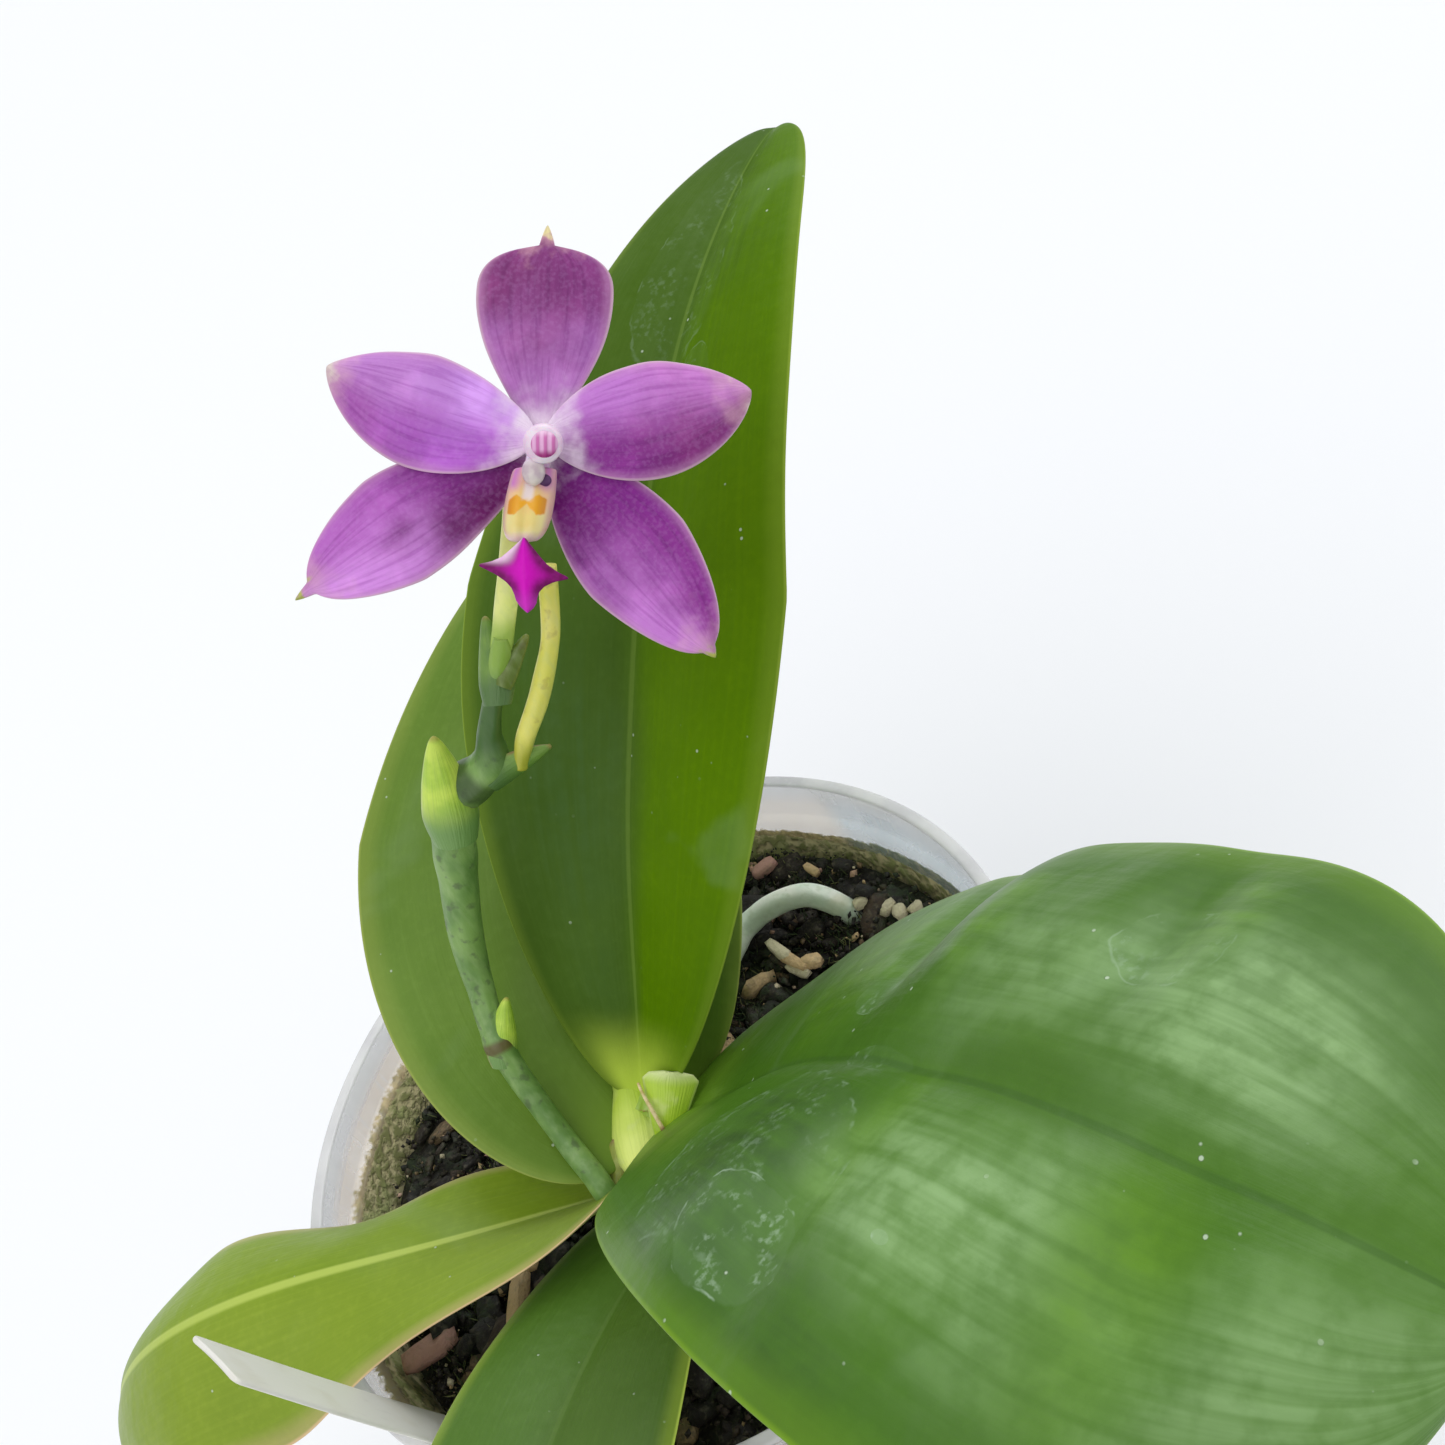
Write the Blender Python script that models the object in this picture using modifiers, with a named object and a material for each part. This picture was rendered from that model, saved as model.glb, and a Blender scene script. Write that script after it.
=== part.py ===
"""Potted moth orchid in a clear plastic pot.

Five strap leaves clasp a short stem, which stands in a bark mix with its roots. A jointed
flower spike rises from the lowest leaves, with one open flower, one spent flower stalk and
small green bracts, and a plain white plant label stands near the rim.

Units are metres, +Z is up, and the origin is the middle of the pot's base. The plant's own
sizes are written in millimetres, from the middle of the pot's rim, and are scaled by MM.
"""

import math

import bmesh
import bpy
import numpy as np

MM = 0.001
GAP = 0.3  # clearance between neighbouring solids, mm
SEAM = 0.001 * MM  # points of a cut mesh that lie closer than this are one
WELD = 0.01 * MM  # points of a new tube that lie closer than this are one
SHARP_EDGE = math.radians(40)

# Driving dimensions of the pot, mm
RIM_HEIGHT = 105.0
RIM_RADIUS = 60.0  # the outermost edge of the rim
BASE_RADIUS = 44.0
WALL = 1.2
COLLAR_HEIGHT = 9.0
COLLAR_STEP = 1.4
RIM_LIP = 1.0  # how far the rim stands out from the collar
RIM_BAND = 1.8  # how far down the rim reaches
COLLAR_RADIUS = RIM_RADIUS - RIM_LIP
COLLAR_FOOT = RIM_HEIGHT - COLLAR_HEIGHT
COLLAR_SLOPE = 1.5  # the height over which the wall widens into the collar
ROUNDING = 0.5  # of the corners of the rim and the collar
FLOOR = 1.6
FOOT_BEND = 3.0  # the height over which the wall bends into the base
FOOT_INSET = 1.0
DRAIN_HOLES = 8
DRAIN_RING_RADIUS = 30.0
DRAIN_HOLE_RADIUS = 4.0
DRAIN_HOLE_SIDES = 12
POT_SIDES = 48

# Driving dimensions of the bark mix, mm
MIX_TOP = -14.0  # below the rim
MIX_SIDES = 36
MIX_MOUND = ((0.0, 0.0), (24.0, 0.6), (44.0, -0.4))  # radius, and height over the mix's top
MIX_SHOULDER = 1.0  # how far the top drops at the wall
MIX_FOOT_HEIGHT = 5.0
MIX_FOOT_INSET = 2.5
CHIP_COUNT = 46
CHIP_SIZE = (7.0, 15.0)
CHIP_WIDTH = (0.45, 0.75)  # share of a chip's size
CHIP_THICKNESS = (0.3, 0.5)  # share of a chip's size
CHIP_UNEVEN = (0.75, 1.1)  # how far its corners are moved
CHIP_LEAN = 22.0  # degrees
CHIP_SINK = 0.12  # share of a chip's size
CHIP_RINGS = (5.0, 13.0)  # clear of the middle and of the wall
CHIP_CLEAR_OF_STEM = 17.0
GOLDEN_ANGLE = math.radians(137.508)

# Driving dimensions of the flower, mm and degrees
FLOWER_CENTRE = (38.3, 3.0, 99.7)
FLOWER_AZIMUTH = -90.0
FLOWER_ELEVATION = 40.0
FLOWER_TURN = 32.5
TEPAL_THICKNESS = 0.8

LEAF_THICKNESS = 1.9
LEAF_EDGE_SHARE = 0.5  # a leaf's margin is thinner than its middle
TEPAL_EDGE_SHARE = 0.8
DROOP_POWER = 2.2  # how late across a blade its margins bend down
WAVE_OFFSET = 0.13  # how far, in waves, the two margins of a blade are out of step
MIDRIB_STEPS = 200
LEAF_ROWS = 13
LEAF_COLUMNS = 8
TEPAL_ROWS = 9
TEPAL_COLUMNS = 6


def start_empty():
    for scene_object in list(bpy.data.objects):
        bpy.data.objects.remove(scene_object, do_unlink=True)


def new_collection(name):
    collection = bpy.data.collections.new(name)
    bpy.context.scene.collection.children.link(collection)
    return collection


def new_material(name, colour, roughness, alpha=1.0):
    """A Principled material with one colour."""
    material = bpy.data.materials.new(name)
    material.use_nodes = True
    shader = material.node_tree.nodes["Principled BSDF"]
    shader.inputs["Base Color"].default_value = (*colour, 1.0)
    shader.inputs["Roughness"].default_value = roughness
    shader.inputs["Metallic"].default_value = 0.0
    shader.inputs["Alpha"].default_value = alpha
    return material


start_empty()
ORCHID = new_collection("potted_moth_orchid")
CUTTERS = new_collection("cutters")

CLEAR_PLASTIC = new_material("clear_plastic", (0.80, 0.84, 0.88), 0.15, 0.35)
BARK = new_material("bark", (0.10, 0.07, 0.045), 0.9)
STEM_GREEN = new_material("stem_green", (0.36, 0.47, 0.10), 0.5)
LEAF_GREEN = new_material("leaf_green", (0.07, 0.19, 0.03), 0.35)
LIGHT_LEAF = new_material("light_leaf", (0.22, 0.34, 0.06), 0.4)
SPIKE_GREEN = new_material("spike_green", (0.12, 0.24, 0.08), 0.5)
PEDICEL_GREEN = new_material("pedicel_green", (0.50, 0.58, 0.20), 0.45)
SPENT_YELLOW = new_material("spent_yellow", (0.60, 0.52, 0.16), 0.5)
LILAC = new_material("lilac", (0.38, 0.12, 0.50), 0.5)
LIP_CREAM = new_material("lip_cream", (0.80, 0.55, 0.25), 0.45)
MAGENTA = new_material("magenta", (0.60, 0.01, 0.48), 0.4)
COLUMN_WHITE = new_material("column_white", (0.85, 0.72, 0.85), 0.4)
ROOT_SILVER = new_material("root_silver", (0.55, 0.60, 0.50), 0.7)
LABEL_WHITE = new_material("label_white", (0.85, 0.85, 0.82), 0.4)


def put(name, mesh, material):
    """A new object of the orchid for a mesh, with its material."""
    piece = bpy.data.objects.new(name, mesh)
    ORCHID.objects.link(piece)
    mesh.materials.clear()
    mesh.materials.append(material)
    return piece


def cutter_object(name, mesh):
    """A hidden object that a Boolean uses."""
    piece = bpy.data.objects.new(name, mesh)
    CUTTERS.objects.link(piece)
    piece.hide_render = True
    piece.display_type = "WIRE"
    return piece


def evaluated_mesh(piece):
    """The object's mesh with its modifiers applied, in world space."""
    bpy.context.view_layer.update()
    graph = bpy.context.evaluated_depsgraph_get()
    mesh = bpy.data.meshes.new_from_object(piece.evaluated_get(graph), depsgraph=graph)
    mesh.transform(piece.matrix_world)
    return mesh


def welded(mesh):
    """Joins points that lie together, and turns all faces outwards."""
    cage = bmesh.new()
    cage.from_mesh(mesh)
    bmesh.ops.remove_doubles(cage, verts=cage.verts, dist=WELD)
    bmesh.ops.recalc_face_normals(cage, faces=cage.faces)
    cage.to_mesh(mesh)
    cage.free()
    return mesh


def grown(piece):
    """A hidden copy of a finished piece, larger all round by a gap, which cuts its neighbours."""
    mesh = evaluated_mesh(piece)
    cage = bmesh.new()
    cage.from_mesh(mesh)
    bmesh.ops.remove_doubles(cage, verts=cage.verts, dist=SEAM)
    cage.normal_update()
    for corner in cage.verts:
        corner.co += corner.normal * GAP * MM * corner.calc_shell_factor()
    cage.to_mesh(mesh)
    cage.free()
    return cutter_object(piece.name + "_cutter", mesh)


def boolean(piece, other, operation, solver="EXACT"):
    """Adds a Boolean modifier against an object or against a whole collection."""
    modifier = piece.modifiers.new(operation.lower(), "BOOLEAN")
    modifier.operation = operation
    modifier.solver = solver
    if isinstance(other, bpy.types.Collection):
        modifier.operand_type = "COLLECTION"
        modifier.collection = other
    else:
        modifier.object = other
    return modifier


def cut(piece, *others, solver="EXACT"):
    for other in others:
        boolean(piece, other, "DIFFERENCE", solver)


def fit_to(piece, *neighbours):
    """Cuts a thin piece back from grown copies, which may cross themselves in a hollow."""
    cut(piece, *neighbours, solver="MANIFOLD")


def fuse(name, pieces, material):
    """One object from several overlapping ones, which it removes."""
    first, *rest = pieces
    helpers = bpy.data.collections.new(name + "_parts")
    bpy.context.scene.collection.children.link(helpers)
    for piece in rest:
        for owner in list(piece.users_collection):
            owner.objects.unlink(piece)
        helpers.objects.link(piece)
    boolean(first, helpers, "UNION")
    mesh = evaluated_mesh(first)
    for piece in pieces:
        bpy.data.objects.remove(piece, do_unlink=True)
    bpy.data.collections.remove(helpers)
    return put(name, mesh, material)


def mesh_from_grid(name, grid, tip=None):
    """Triangles over a grid of points, row by row, closed to one tip point where there is one."""
    rows, columns = grid.shape[:2]
    points = grid.reshape(-1, 3).tolist()
    faces = []
    for row in range(rows - 1):
        for column in range(columns - 1):
            a = row * columns + column
            b, c, d = a + 1, a + columns + 1, a + columns
            if column < (columns - 1) // 2:
                faces += [(a, b, c), (a, c, d)]
            else:
                faces += [(a, b, d), (b, c, d)]
    if tip is not None:
        points.append(tuple(tip))
        end = len(points) - 1
        last = (rows - 1) * columns
        faces += [(last + column, last + column + 1, end) for column in range(columns - 1)]
    mesh = bpy.data.meshes.new(name)
    mesh.from_pydata(points, [], faces)
    mesh.update()
    return mesh


def through(keys, s):
    """The quadratic that passes through three values, at the root, the middle and the tip."""
    root, middle, tip = keys
    return root * (1 - s) * (1 - 2 * s) + middle * 4 * s * (1 - s) + tip * s * (2 * s - 1)


def outline(s, blade):
    """Half width of a blade at s: a sine rise from the root, a fall to the tip, and a fine point.

    The fall is (1 - past^tip_power)^blunt: a blunt of 0.5 is a round tip, and 1 a sharp one.
    """
    body_end = 1.0 - blade.get("point", 0.0)
    along = np.clip(s / body_end, 0.0, 1.0)
    widest = blade["widest"]
    rise = np.sin(np.pi / 2 * np.clip(along / widest, 0.0, 1.0)) ** blade["rise_power"]
    rise = blade["root_share"] + (1.0 - blade["root_share"]) * rise
    past = np.clip((along - widest) / (1.0 - widest), 0.0, 1.0)
    fall = (1.0 - past ** blade["tip_power"]) ** blade.get("blunt", 0.5)
    share = np.where(along < widest, rise, fall)
    if blade.get("point"):
        spine = blade["point_share"] * np.clip((1.0 - s) / blade["point"], 0.0, 1.0)
        share = np.maximum(share, spine)
    return blade["half_width"] * share


def blade_points(blade, s, v):
    """Points of a leaf or petal: s from root (0) to tip (1), v from margin (-1) to margin (1).

    The midrib is walked step by step along its heading and pitch. Across it, the two halves fold
    up in a V, droop towards their margins, and wave.
    """
    fine = np.linspace(0.0, 1.0, MIDRIB_STEPS + 1)

    def directions(at):
        heading = np.radians(through(blade["heading"], at))
        pitch = np.radians(through(blade["pitch"], at))
        flat = np.stack([np.cos(heading), np.sin(heading), np.zeros_like(heading)], -1)
        forward = flat * np.cos(pitch)[:, None]
        forward[:, 2] = np.sin(pitch)
        side = np.stack([np.sin(heading), -np.cos(heading), np.zeros_like(heading)], -1)
        return forward, side

    forward, _ = directions(fine)
    steps = (forward[1:] + forward[:-1]) / 2 / MIDRIB_STEPS
    walk = np.concatenate([np.zeros((1, 3)), np.cumsum(steps, axis=0)]) * blade["length"]
    midrib = np.stack([np.interp(s, fine, walk[:, axis]) for axis in range(3)], -1) + blade["root"]
    forward, side = directions(s)
    up = np.cross(side, forward)
    roll = np.radians(through(blade["roll"], s))[:, None]
    side, up = side * np.cos(roll) + up * np.sin(roll), up * np.cos(roll) - side * np.sin(roll)
    s, v = s[:, None], v[None]
    width = outline(s, blade)
    away = np.abs(v)
    lateral = width * v * np.where(v < 0, blade.get("left", 1.0), blade.get("right", 1.0))
    lift = width * (through(blade["fold"], s) * away - through(blade["droop"], s) * away**DROOP_POWER)
    phase = blade.get("waves", 1.5) * s + blade.get("phase", 0.0) + WAVE_OFFSET * np.sign(v)
    wave = np.sin(2 * np.pi * phase) * np.sin(np.pi * s)
    lift = lift + blade.get("wave", 0.0) * away**2 * wave
    return midrib[:, None] + side[:, None] * lateral[..., None] + up[:, None] * lift[..., None]


def above_rim(points):
    """Millimetres from the rim's middle, as metres from the pot's base."""
    return (np.asarray(points, float) + (0.0, 0.0, RIM_HEIGHT)) * MM


def flower_axes():
    """The flower's own right, up and outward directions."""
    azimuth, elevation, turn = np.radians([FLOWER_AZIMUTH, FLOWER_ELEVATION, FLOWER_TURN])
    outward = np.array([math.cos(azimuth), math.sin(azimuth), 0.0]) * math.cos(elevation)
    outward[2] = math.sin(elevation)
    level = np.array([-math.sin(azimuth), math.cos(azimuth), 0.0])
    upright = np.cross(outward, level)
    right = level * math.cos(turn) - upright * math.sin(turn)
    up = level * math.sin(turn) + upright * math.cos(turn)
    return np.array([right, up, outward])


FLOWER_AXES = flower_axes()


def in_flower(points):
    """Millimetres in the flower's own frame, as metres from the pot's base."""
    return above_rim(np.asarray(points, float) @ FLOWER_AXES + FLOWER_CENTRE)


def make_blade(name, blade, material, rows, columns, place=above_rim):
    """A leaf, petal or bract: its surface, thickened, and thinner at the margins."""
    body_end = 1.0 - blade.get("point", 0.0)
    count = rows if blade.get("point") else rows - 1
    s = body_end * (0.5 - 0.5 * np.cos(np.pi * np.arange(count + 1) / rows))
    v = np.linspace(-1.0, 1.0, columns + 1)
    grid = place(blade_points(blade, s, v))
    tip = place(blade_points(blade, np.array([1.0]), np.array([0.0])))[0, 0]
    piece = put(name, mesh_from_grid(name, grid, tip), material)
    middle = piece.vertex_groups.new(name="middle")
    edge = blade.get("edge_share", LEAF_EDGE_SHARE)
    for index in range(len(s) * len(v)):
        away = abs(v[index % len(v)])
        middle.add([index], edge + (1.0 - edge) * (1.0 - away**2), "REPLACE")
    middle.add([len(s) * len(v)], edge, "REPLACE")
    solidify = piece.modifiers.new("thickness", "SOLIDIFY")
    solidify.thickness = blade.get("thickness", LEAF_THICKNESS) * MM
    solidify.offset = 0.0
    solidify.vertex_group = middle.name
    return piece


def smooth_path(points, per_span):
    """A Catmull-Rom curve through a few points, with its ends included."""
    points = np.asarray(points, float)
    padded = np.concatenate([[2 * points[0] - points[1]], points, [2 * points[-1] - points[-2]]])
    t = np.linspace(0.0, 1.0, per_span, endpoint=False)[:, None]
    spans = []
    for a, b, c, d in zip(padded, padded[1:], padded[2:], padded[3:]):
        cubic = 2 * b + (c - a) * t + (2 * a - 5 * b + 4 * c - d) * t**2
        spans.append(0.5 * (cubic + (3 * b - a - 3 * c + d) * t**3))
    return np.concatenate(spans + [points[-1:]])


def make_tube(name, route, material, per_span=4, roundness=2, place=above_rim):
    """A round stalk through (x, y, z, radius) points in mm, with its end caps welded on."""
    path = smooth_path(route, per_span)
    curve = bpy.data.curves.new(name, "CURVE")
    curve.dimensions = "3D"
    curve.bevel_depth = MM
    curve.bevel_resolution = roundness
    curve.use_fill_caps = True
    spline = curve.splines.new("POLY")
    spline.points.add(len(path) - 1)
    for point, position, radius in zip(spline.points, place(path[:, :3]), path[:, 3]):
        point.co = (*position, 1.0)
        point.radius = radius
    guide = bpy.data.objects.new(name + "_curve", curve)
    ORCHID.objects.link(guide)
    mesh = welded(evaluated_mesh(guide))
    bpy.data.objects.remove(guide, do_unlink=True)
    return put(name, mesh, material)


def make_turned(name, profile, sides, material):
    """A profile of (radius, height) points in mm, turned round the Z axis by a Screw modifier."""
    mesh = bpy.data.meshes.new(name)
    points = [(radius * MM, 0.0, height * MM) for radius, height in profile]
    mesh.from_pydata(points, [(index, index + 1) for index in range(len(points) - 1)], [])
    piece = put(name, mesh, material)
    screw = piece.modifiers.new("turn", "SCREW")
    screw.steps = sides
    screw.render_steps = sides
    screw.use_merge_vertices = True
    screw.merge_threshold = WELD
    return piece


def wall_radius(height):
    """The pot's outer radius at a height above its base."""
    return BASE_RADIUS + (COLLAR_RADIUS - COLLAR_STEP - BASE_RADIUS) * height / COLLAR_FOOT


def make_pot():
    """A tapered thin-walled pot with a wider collar under its rim and a ring of drainage holes."""
    profile = [
        (0.0, FLOOR),
        (BASE_RADIUS - WALL - FOOT_INSET, FLOOR),
        (wall_radius(FLOOR + FOOT_BEND) - WALL, FLOOR + FOOT_BEND),
        (wall_radius(COLLAR_FOOT) - WALL, COLLAR_FOOT),
        (COLLAR_RADIUS - WALL - ROUNDING / 2, COLLAR_FOOT + COLLAR_SLOPE),
        (COLLAR_RADIUS - WALL, RIM_HEIGHT - ROUNDING),
        (COLLAR_RADIUS - WALL / 2, RIM_HEIGHT),
        (RIM_RADIUS - ROUNDING, RIM_HEIGHT),
        (RIM_RADIUS, RIM_HEIGHT - ROUNDING),
        (RIM_RADIUS - ROUNDING / 2, RIM_HEIGHT - RIM_BAND),
        (COLLAR_RADIUS, RIM_HEIGHT - RIM_BAND - ROUNDING),
        (COLLAR_RADIUS - ROUNDING / 2, COLLAR_FOOT),
        (wall_radius(COLLAR_FOOT), COLLAR_FOOT - ROUNDING),
        (wall_radius(FOOT_BEND), FOOT_BEND),
        (BASE_RADIUS - FOOT_INSET, 0.0),
        (0.0, 0.0),
    ]
    pot = make_turned("pot", profile, POT_SIDES, CLEAR_PLASTIC)
    for hole in range(DRAIN_HOLES):
        angle = 2 * math.pi * hole / DRAIN_HOLES
        bpy.ops.mesh.primitive_cylinder_add(
            vertices=DRAIN_HOLE_SIDES,
            radius=DRAIN_HOLE_RADIUS * MM,
            depth=3 * FLOOR * MM,
            location=(
                DRAIN_RING_RADIUS * MM * math.cos(angle),
                DRAIN_RING_RADIUS * MM * math.sin(angle),
                FLOOR / 2 * MM,
            ),
        )
        drill = bpy.context.object
        mesh = evaluated_mesh(drill)
        bpy.data.objects.remove(drill, do_unlink=True)
        cut(pot, cutter_object(f"drain_{hole}", mesh))
    return pot


def chip_mesh(name, size, chance):
    """A block with moved corners, leant and spun at random."""
    stretch = np.array([1.0, chance.uniform(*CHIP_WIDTH), chance.uniform(*CHIP_THICKNESS)]) * size
    turn = math.radians(chance.uniform(0, 360))
    lean = math.radians(chance.uniform(-CHIP_LEAN, CHIP_LEAN))
    cage = bmesh.new()
    bmesh.ops.create_cube(cage, size=1.0)
    for corner in cage.verts:
        x, y, z = np.array(corner.co) * stretch * chance.uniform(*CHIP_UNEVEN, 3)
        x, z = x * math.cos(lean) - z * math.sin(lean), x * math.sin(lean) + z * math.cos(lean)
        x, y = x * math.cos(turn) - y * math.sin(turn), x * math.sin(turn) + y * math.cos(turn)
        corner.co = np.array([x, y, z]) * MM
    mesh = bpy.data.meshes.new(name)
    cage.to_mesh(mesh)
    cage.free()
    return mesh


def make_mix():
    """The bark: a plain core that fills the pot, with loose chips half sunk into its top."""
    inside = WALL + GAP
    top = RIM_HEIGHT + MIX_TOP
    profile = [(radius, top + height) for radius, height in MIX_MOUND]
    profile += [
        (wall_radius(top) - inside, top - MIX_SHOULDER),
        (wall_radius(MIX_FOOT_HEIGHT) - inside, MIX_FOOT_HEIGHT),
        (BASE_RADIUS - inside - MIX_FOOT_INSET, FLOOR + GAP),
        (0.0, FLOOR + GAP),
    ]
    pieces = [make_turned("mix_core", profile, MIX_SIDES, BARK)]
    chance = np.random.default_rng(5)
    first, clear_of_wall = CHIP_RINGS
    reach = wall_radius(top) - inside - clear_of_wall
    for chip in range(CHIP_COUNT):
        radius = first + reach * math.sqrt((chip + 0.5) / CHIP_COUNT)
        angle = chip * GOLDEN_ANGLE
        x, y = radius * math.cos(angle), radius * math.sin(angle)
        if math.hypot(x - STEM_FOOT[0], y - STEM_FOOT[1]) < CHIP_CLEAR_OF_STEM:
            continue
        size = chance.uniform(*CHIP_SIZE)
        piece = put(f"chip_{chip}", chip_mesh(f"chip_{chip}", size, chance), BARK)
        sink = chance.uniform(-CHIP_SINK, CHIP_SINK) * size
        piece.location = (x * MM, y * MM, (top + sink) * MM)
        pieces.append(piece)
    return fuse("bark_mix", pieces, BARK)


# The short stem, mm from the rim's middle, with its radius
STEM_FOOT = (-4.0, -10.5, -48.0, 5.0)
STEM_ROUTE = (
    STEM_FOOT,
    (-4.0, -10.5, -26.0, 6.5),
    (-3.0, -10.5, -10.0, 6.6),
    (-1.6, -9.6, 0.0, 5.2),
    (0.6, -7.2, 8.0, 3.4),
)

# The five leaves, mm and degrees. Keys in threes are the root, middle and tip values.
LEAVES = {
    "leaf_tall": dict(
        root=(0.4, -6.9, 7.6), length=151.0, heading=(38, 39, 42.5), pitch=(53, 37, -4),
        roll=(-9, -0.5, 3.5), half_width=28.0, root_share=0.12, widest=0.48, tip_power=1.0,
        rise_power=0.73, fold=(0.33, 0.28, 0.16), droop=(0.0, 0.1, 0.1),
    ),
    "leaf_broad": dict(
        root=(-1.3, -8.6, 0.8), length=114.0, heading=(107, 51.6, 71.2), pitch=(46.4, 27, -5),
        roll=(-8, -14.8, -12.5), half_width=29.9, root_share=0.15, widest=0.42, tip_power=1.0,
        rise_power=0.38, fold=(0.3, 0.12, 0.05), droop=(0.0, 0.1, 0.1),
    ),
    "leaf_near": dict(
        root=(3.0, -11.5, 3.6), length=147.0, heading=(-48, -65, -55), pitch=(35.6, 36.3, -27),
        roll=(13.5, 7.5, -8), half_width=34.9, root_share=0.2, widest=0.76, tip_power=2.4,
        rise_power=0.5, fold=(0.19, 0.21, -0.13), droop=(0.07, 0.19, 0.22),
    ),
    "leaf_left": dict(
        root=(-6.5, -11.5, -6.5), length=113.5, heading=(185.5, 162, 161), pitch=(29, 0, -62),
        roll=(-42, 4, 5), half_width=20.0, root_share=0.49, widest=0.76, tip_power=2.2,
        rise_power=1.0, fold=(0.5, -0.12, 0.06), droop=(-0.25, 0.21, 0.25),
        right=0.67, wave=2.9, waves=2.3, phase=-0.38,
    ),
    "leaf_front": dict(
        root=(-4.0, -13.5, -12.0), length=108.0, heading=(-126, -121, -111), pitch=(34, 11, -33),
        roll=(0, 0, 0), half_width=17.5, root_share=0.37, widest=0.52, tip_power=2.0,
        rise_power=0.9, fold=(0.35, 0.15, 0.05), droop=(0.0, 0.12, 0.15),
        wave=1.0, waves=1.4, phase=0.3,
    ),
}
LIGHT_LEAVES = ("leaf_left", "leaf_broad")

# The flower spike, mm from the rim's middle, with its radius. It swells at each joint.
SPIKE_ROUTE = (
    (-4.0, -10.0, 0.5, 1.7),
    (-9.6, -11.3, 4.5, 1.7),
    (-12.2, -8.6, 12.6, 1.6),
    (-12.4, -1.2, 24.4, 1.9),
    (-10.0, 4.4, 32.2, 2.0),
    (-6.9, 6.7, 40.3, 2.5),
    (-1.1, 8.5, 51.8, 2.8),
    (2.6, 8.6, 59.0, 3.2),
    (10.5, 4.3, 64.0, 2.7),
    (15.4, 4.6, 71.6, 1.9),
    (20.0, 4.1, 77.6, 1.7),
    (21.4, 4.0, 79.8, 0.8),
)

# Bracts on the spike: root, tip, half width
BRACTS = (
    ((-12.2, -0.8, 24.0), (-6.9, -0.6, 30.6), 1.7),
    ((1.0, 9.0, 58.0), (5.6, 9.4, 68.2), 3.0),
    ((12.0, 4.0, 63.0), (19.6, -0.8, 65.8), 2.2),
    ((18.8, 4.4, 75.8), (20.3, 5.4, 82.1), 1.5),
    ((20.6, 3.8, 78.4), (25.4, 0.4, 80.6), 1.4),
)
BRACT_BEND = 12.0  # degrees that a bract's pitch changes to either side of its middle
BRACT_SHAPE = dict(
    roll=(0, 0, 0), root_share=0.7, widest=0.35, tip_power=1.2, rise_power=1.0,
    fold=(0.5, 0.5, 0.4), droop=(0.0, 0.0, 0.0), thickness=0.9, edge_share=0.8,
)
BRACT_ROWS = 5
BRACT_COLUMNS = 4

FLOWER_STALK = (
    (21.1, 4.9, 78.8, 1.2),
    (25.3, 5.6, 84.0, 1.4),
    (29.3, 7.9, 88.3, 1.5),
    (33.4, 9.8, 93.2, 1.5),
    (37.0, 7.4, 97.2, 1.6),
    (38.3, 4.0, 99.0, 1.6),
)
SPENT_STALK = (
    (16.6, 1.9, 66.4, 1.2),
    (21.0, 2.5, 70.2, 1.3),
    (26.2, 3.7, 75.8, 1.2),
    (29.5, 5.7, 80.9, 1.2),
    (30.9, 6.6, 83.4, 1.0),
)

# Aerial roots, mm from the rim's middle, with their radius. Both ends go into the bark or the stem.
ROOTS = {
    "root_arched": (
        (-1.0, -6.0, -15.0, 1.9), (9.0, 10.0, -10.5, 2.0), (22.0, 25.5, -10.0, 2.0),
        (33.2, 24.6, -8.0, 2.0), (39.0, 21.0, -12.5, 2.0), (40.5, 20.0, -23.0, 1.6),
    ),
    "root_back": (
        (-6.0, -7.0, -14.5, 1.8), (-18.0, 14.0, -9.0, 1.9), (-26.0, 26.0, -10.0, 1.9),
        (-30.0, 31.0, -22.0, 1.5),
    ),
    "root_right": (
        (2.0, -11.0, -14.0, 1.8), (18.0, -14.0, -9.0, 1.9), (29.0, -15.0, -11.0, 1.9),
        (33.0, -14.0, -22.0, 1.5),
    ),
}

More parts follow.
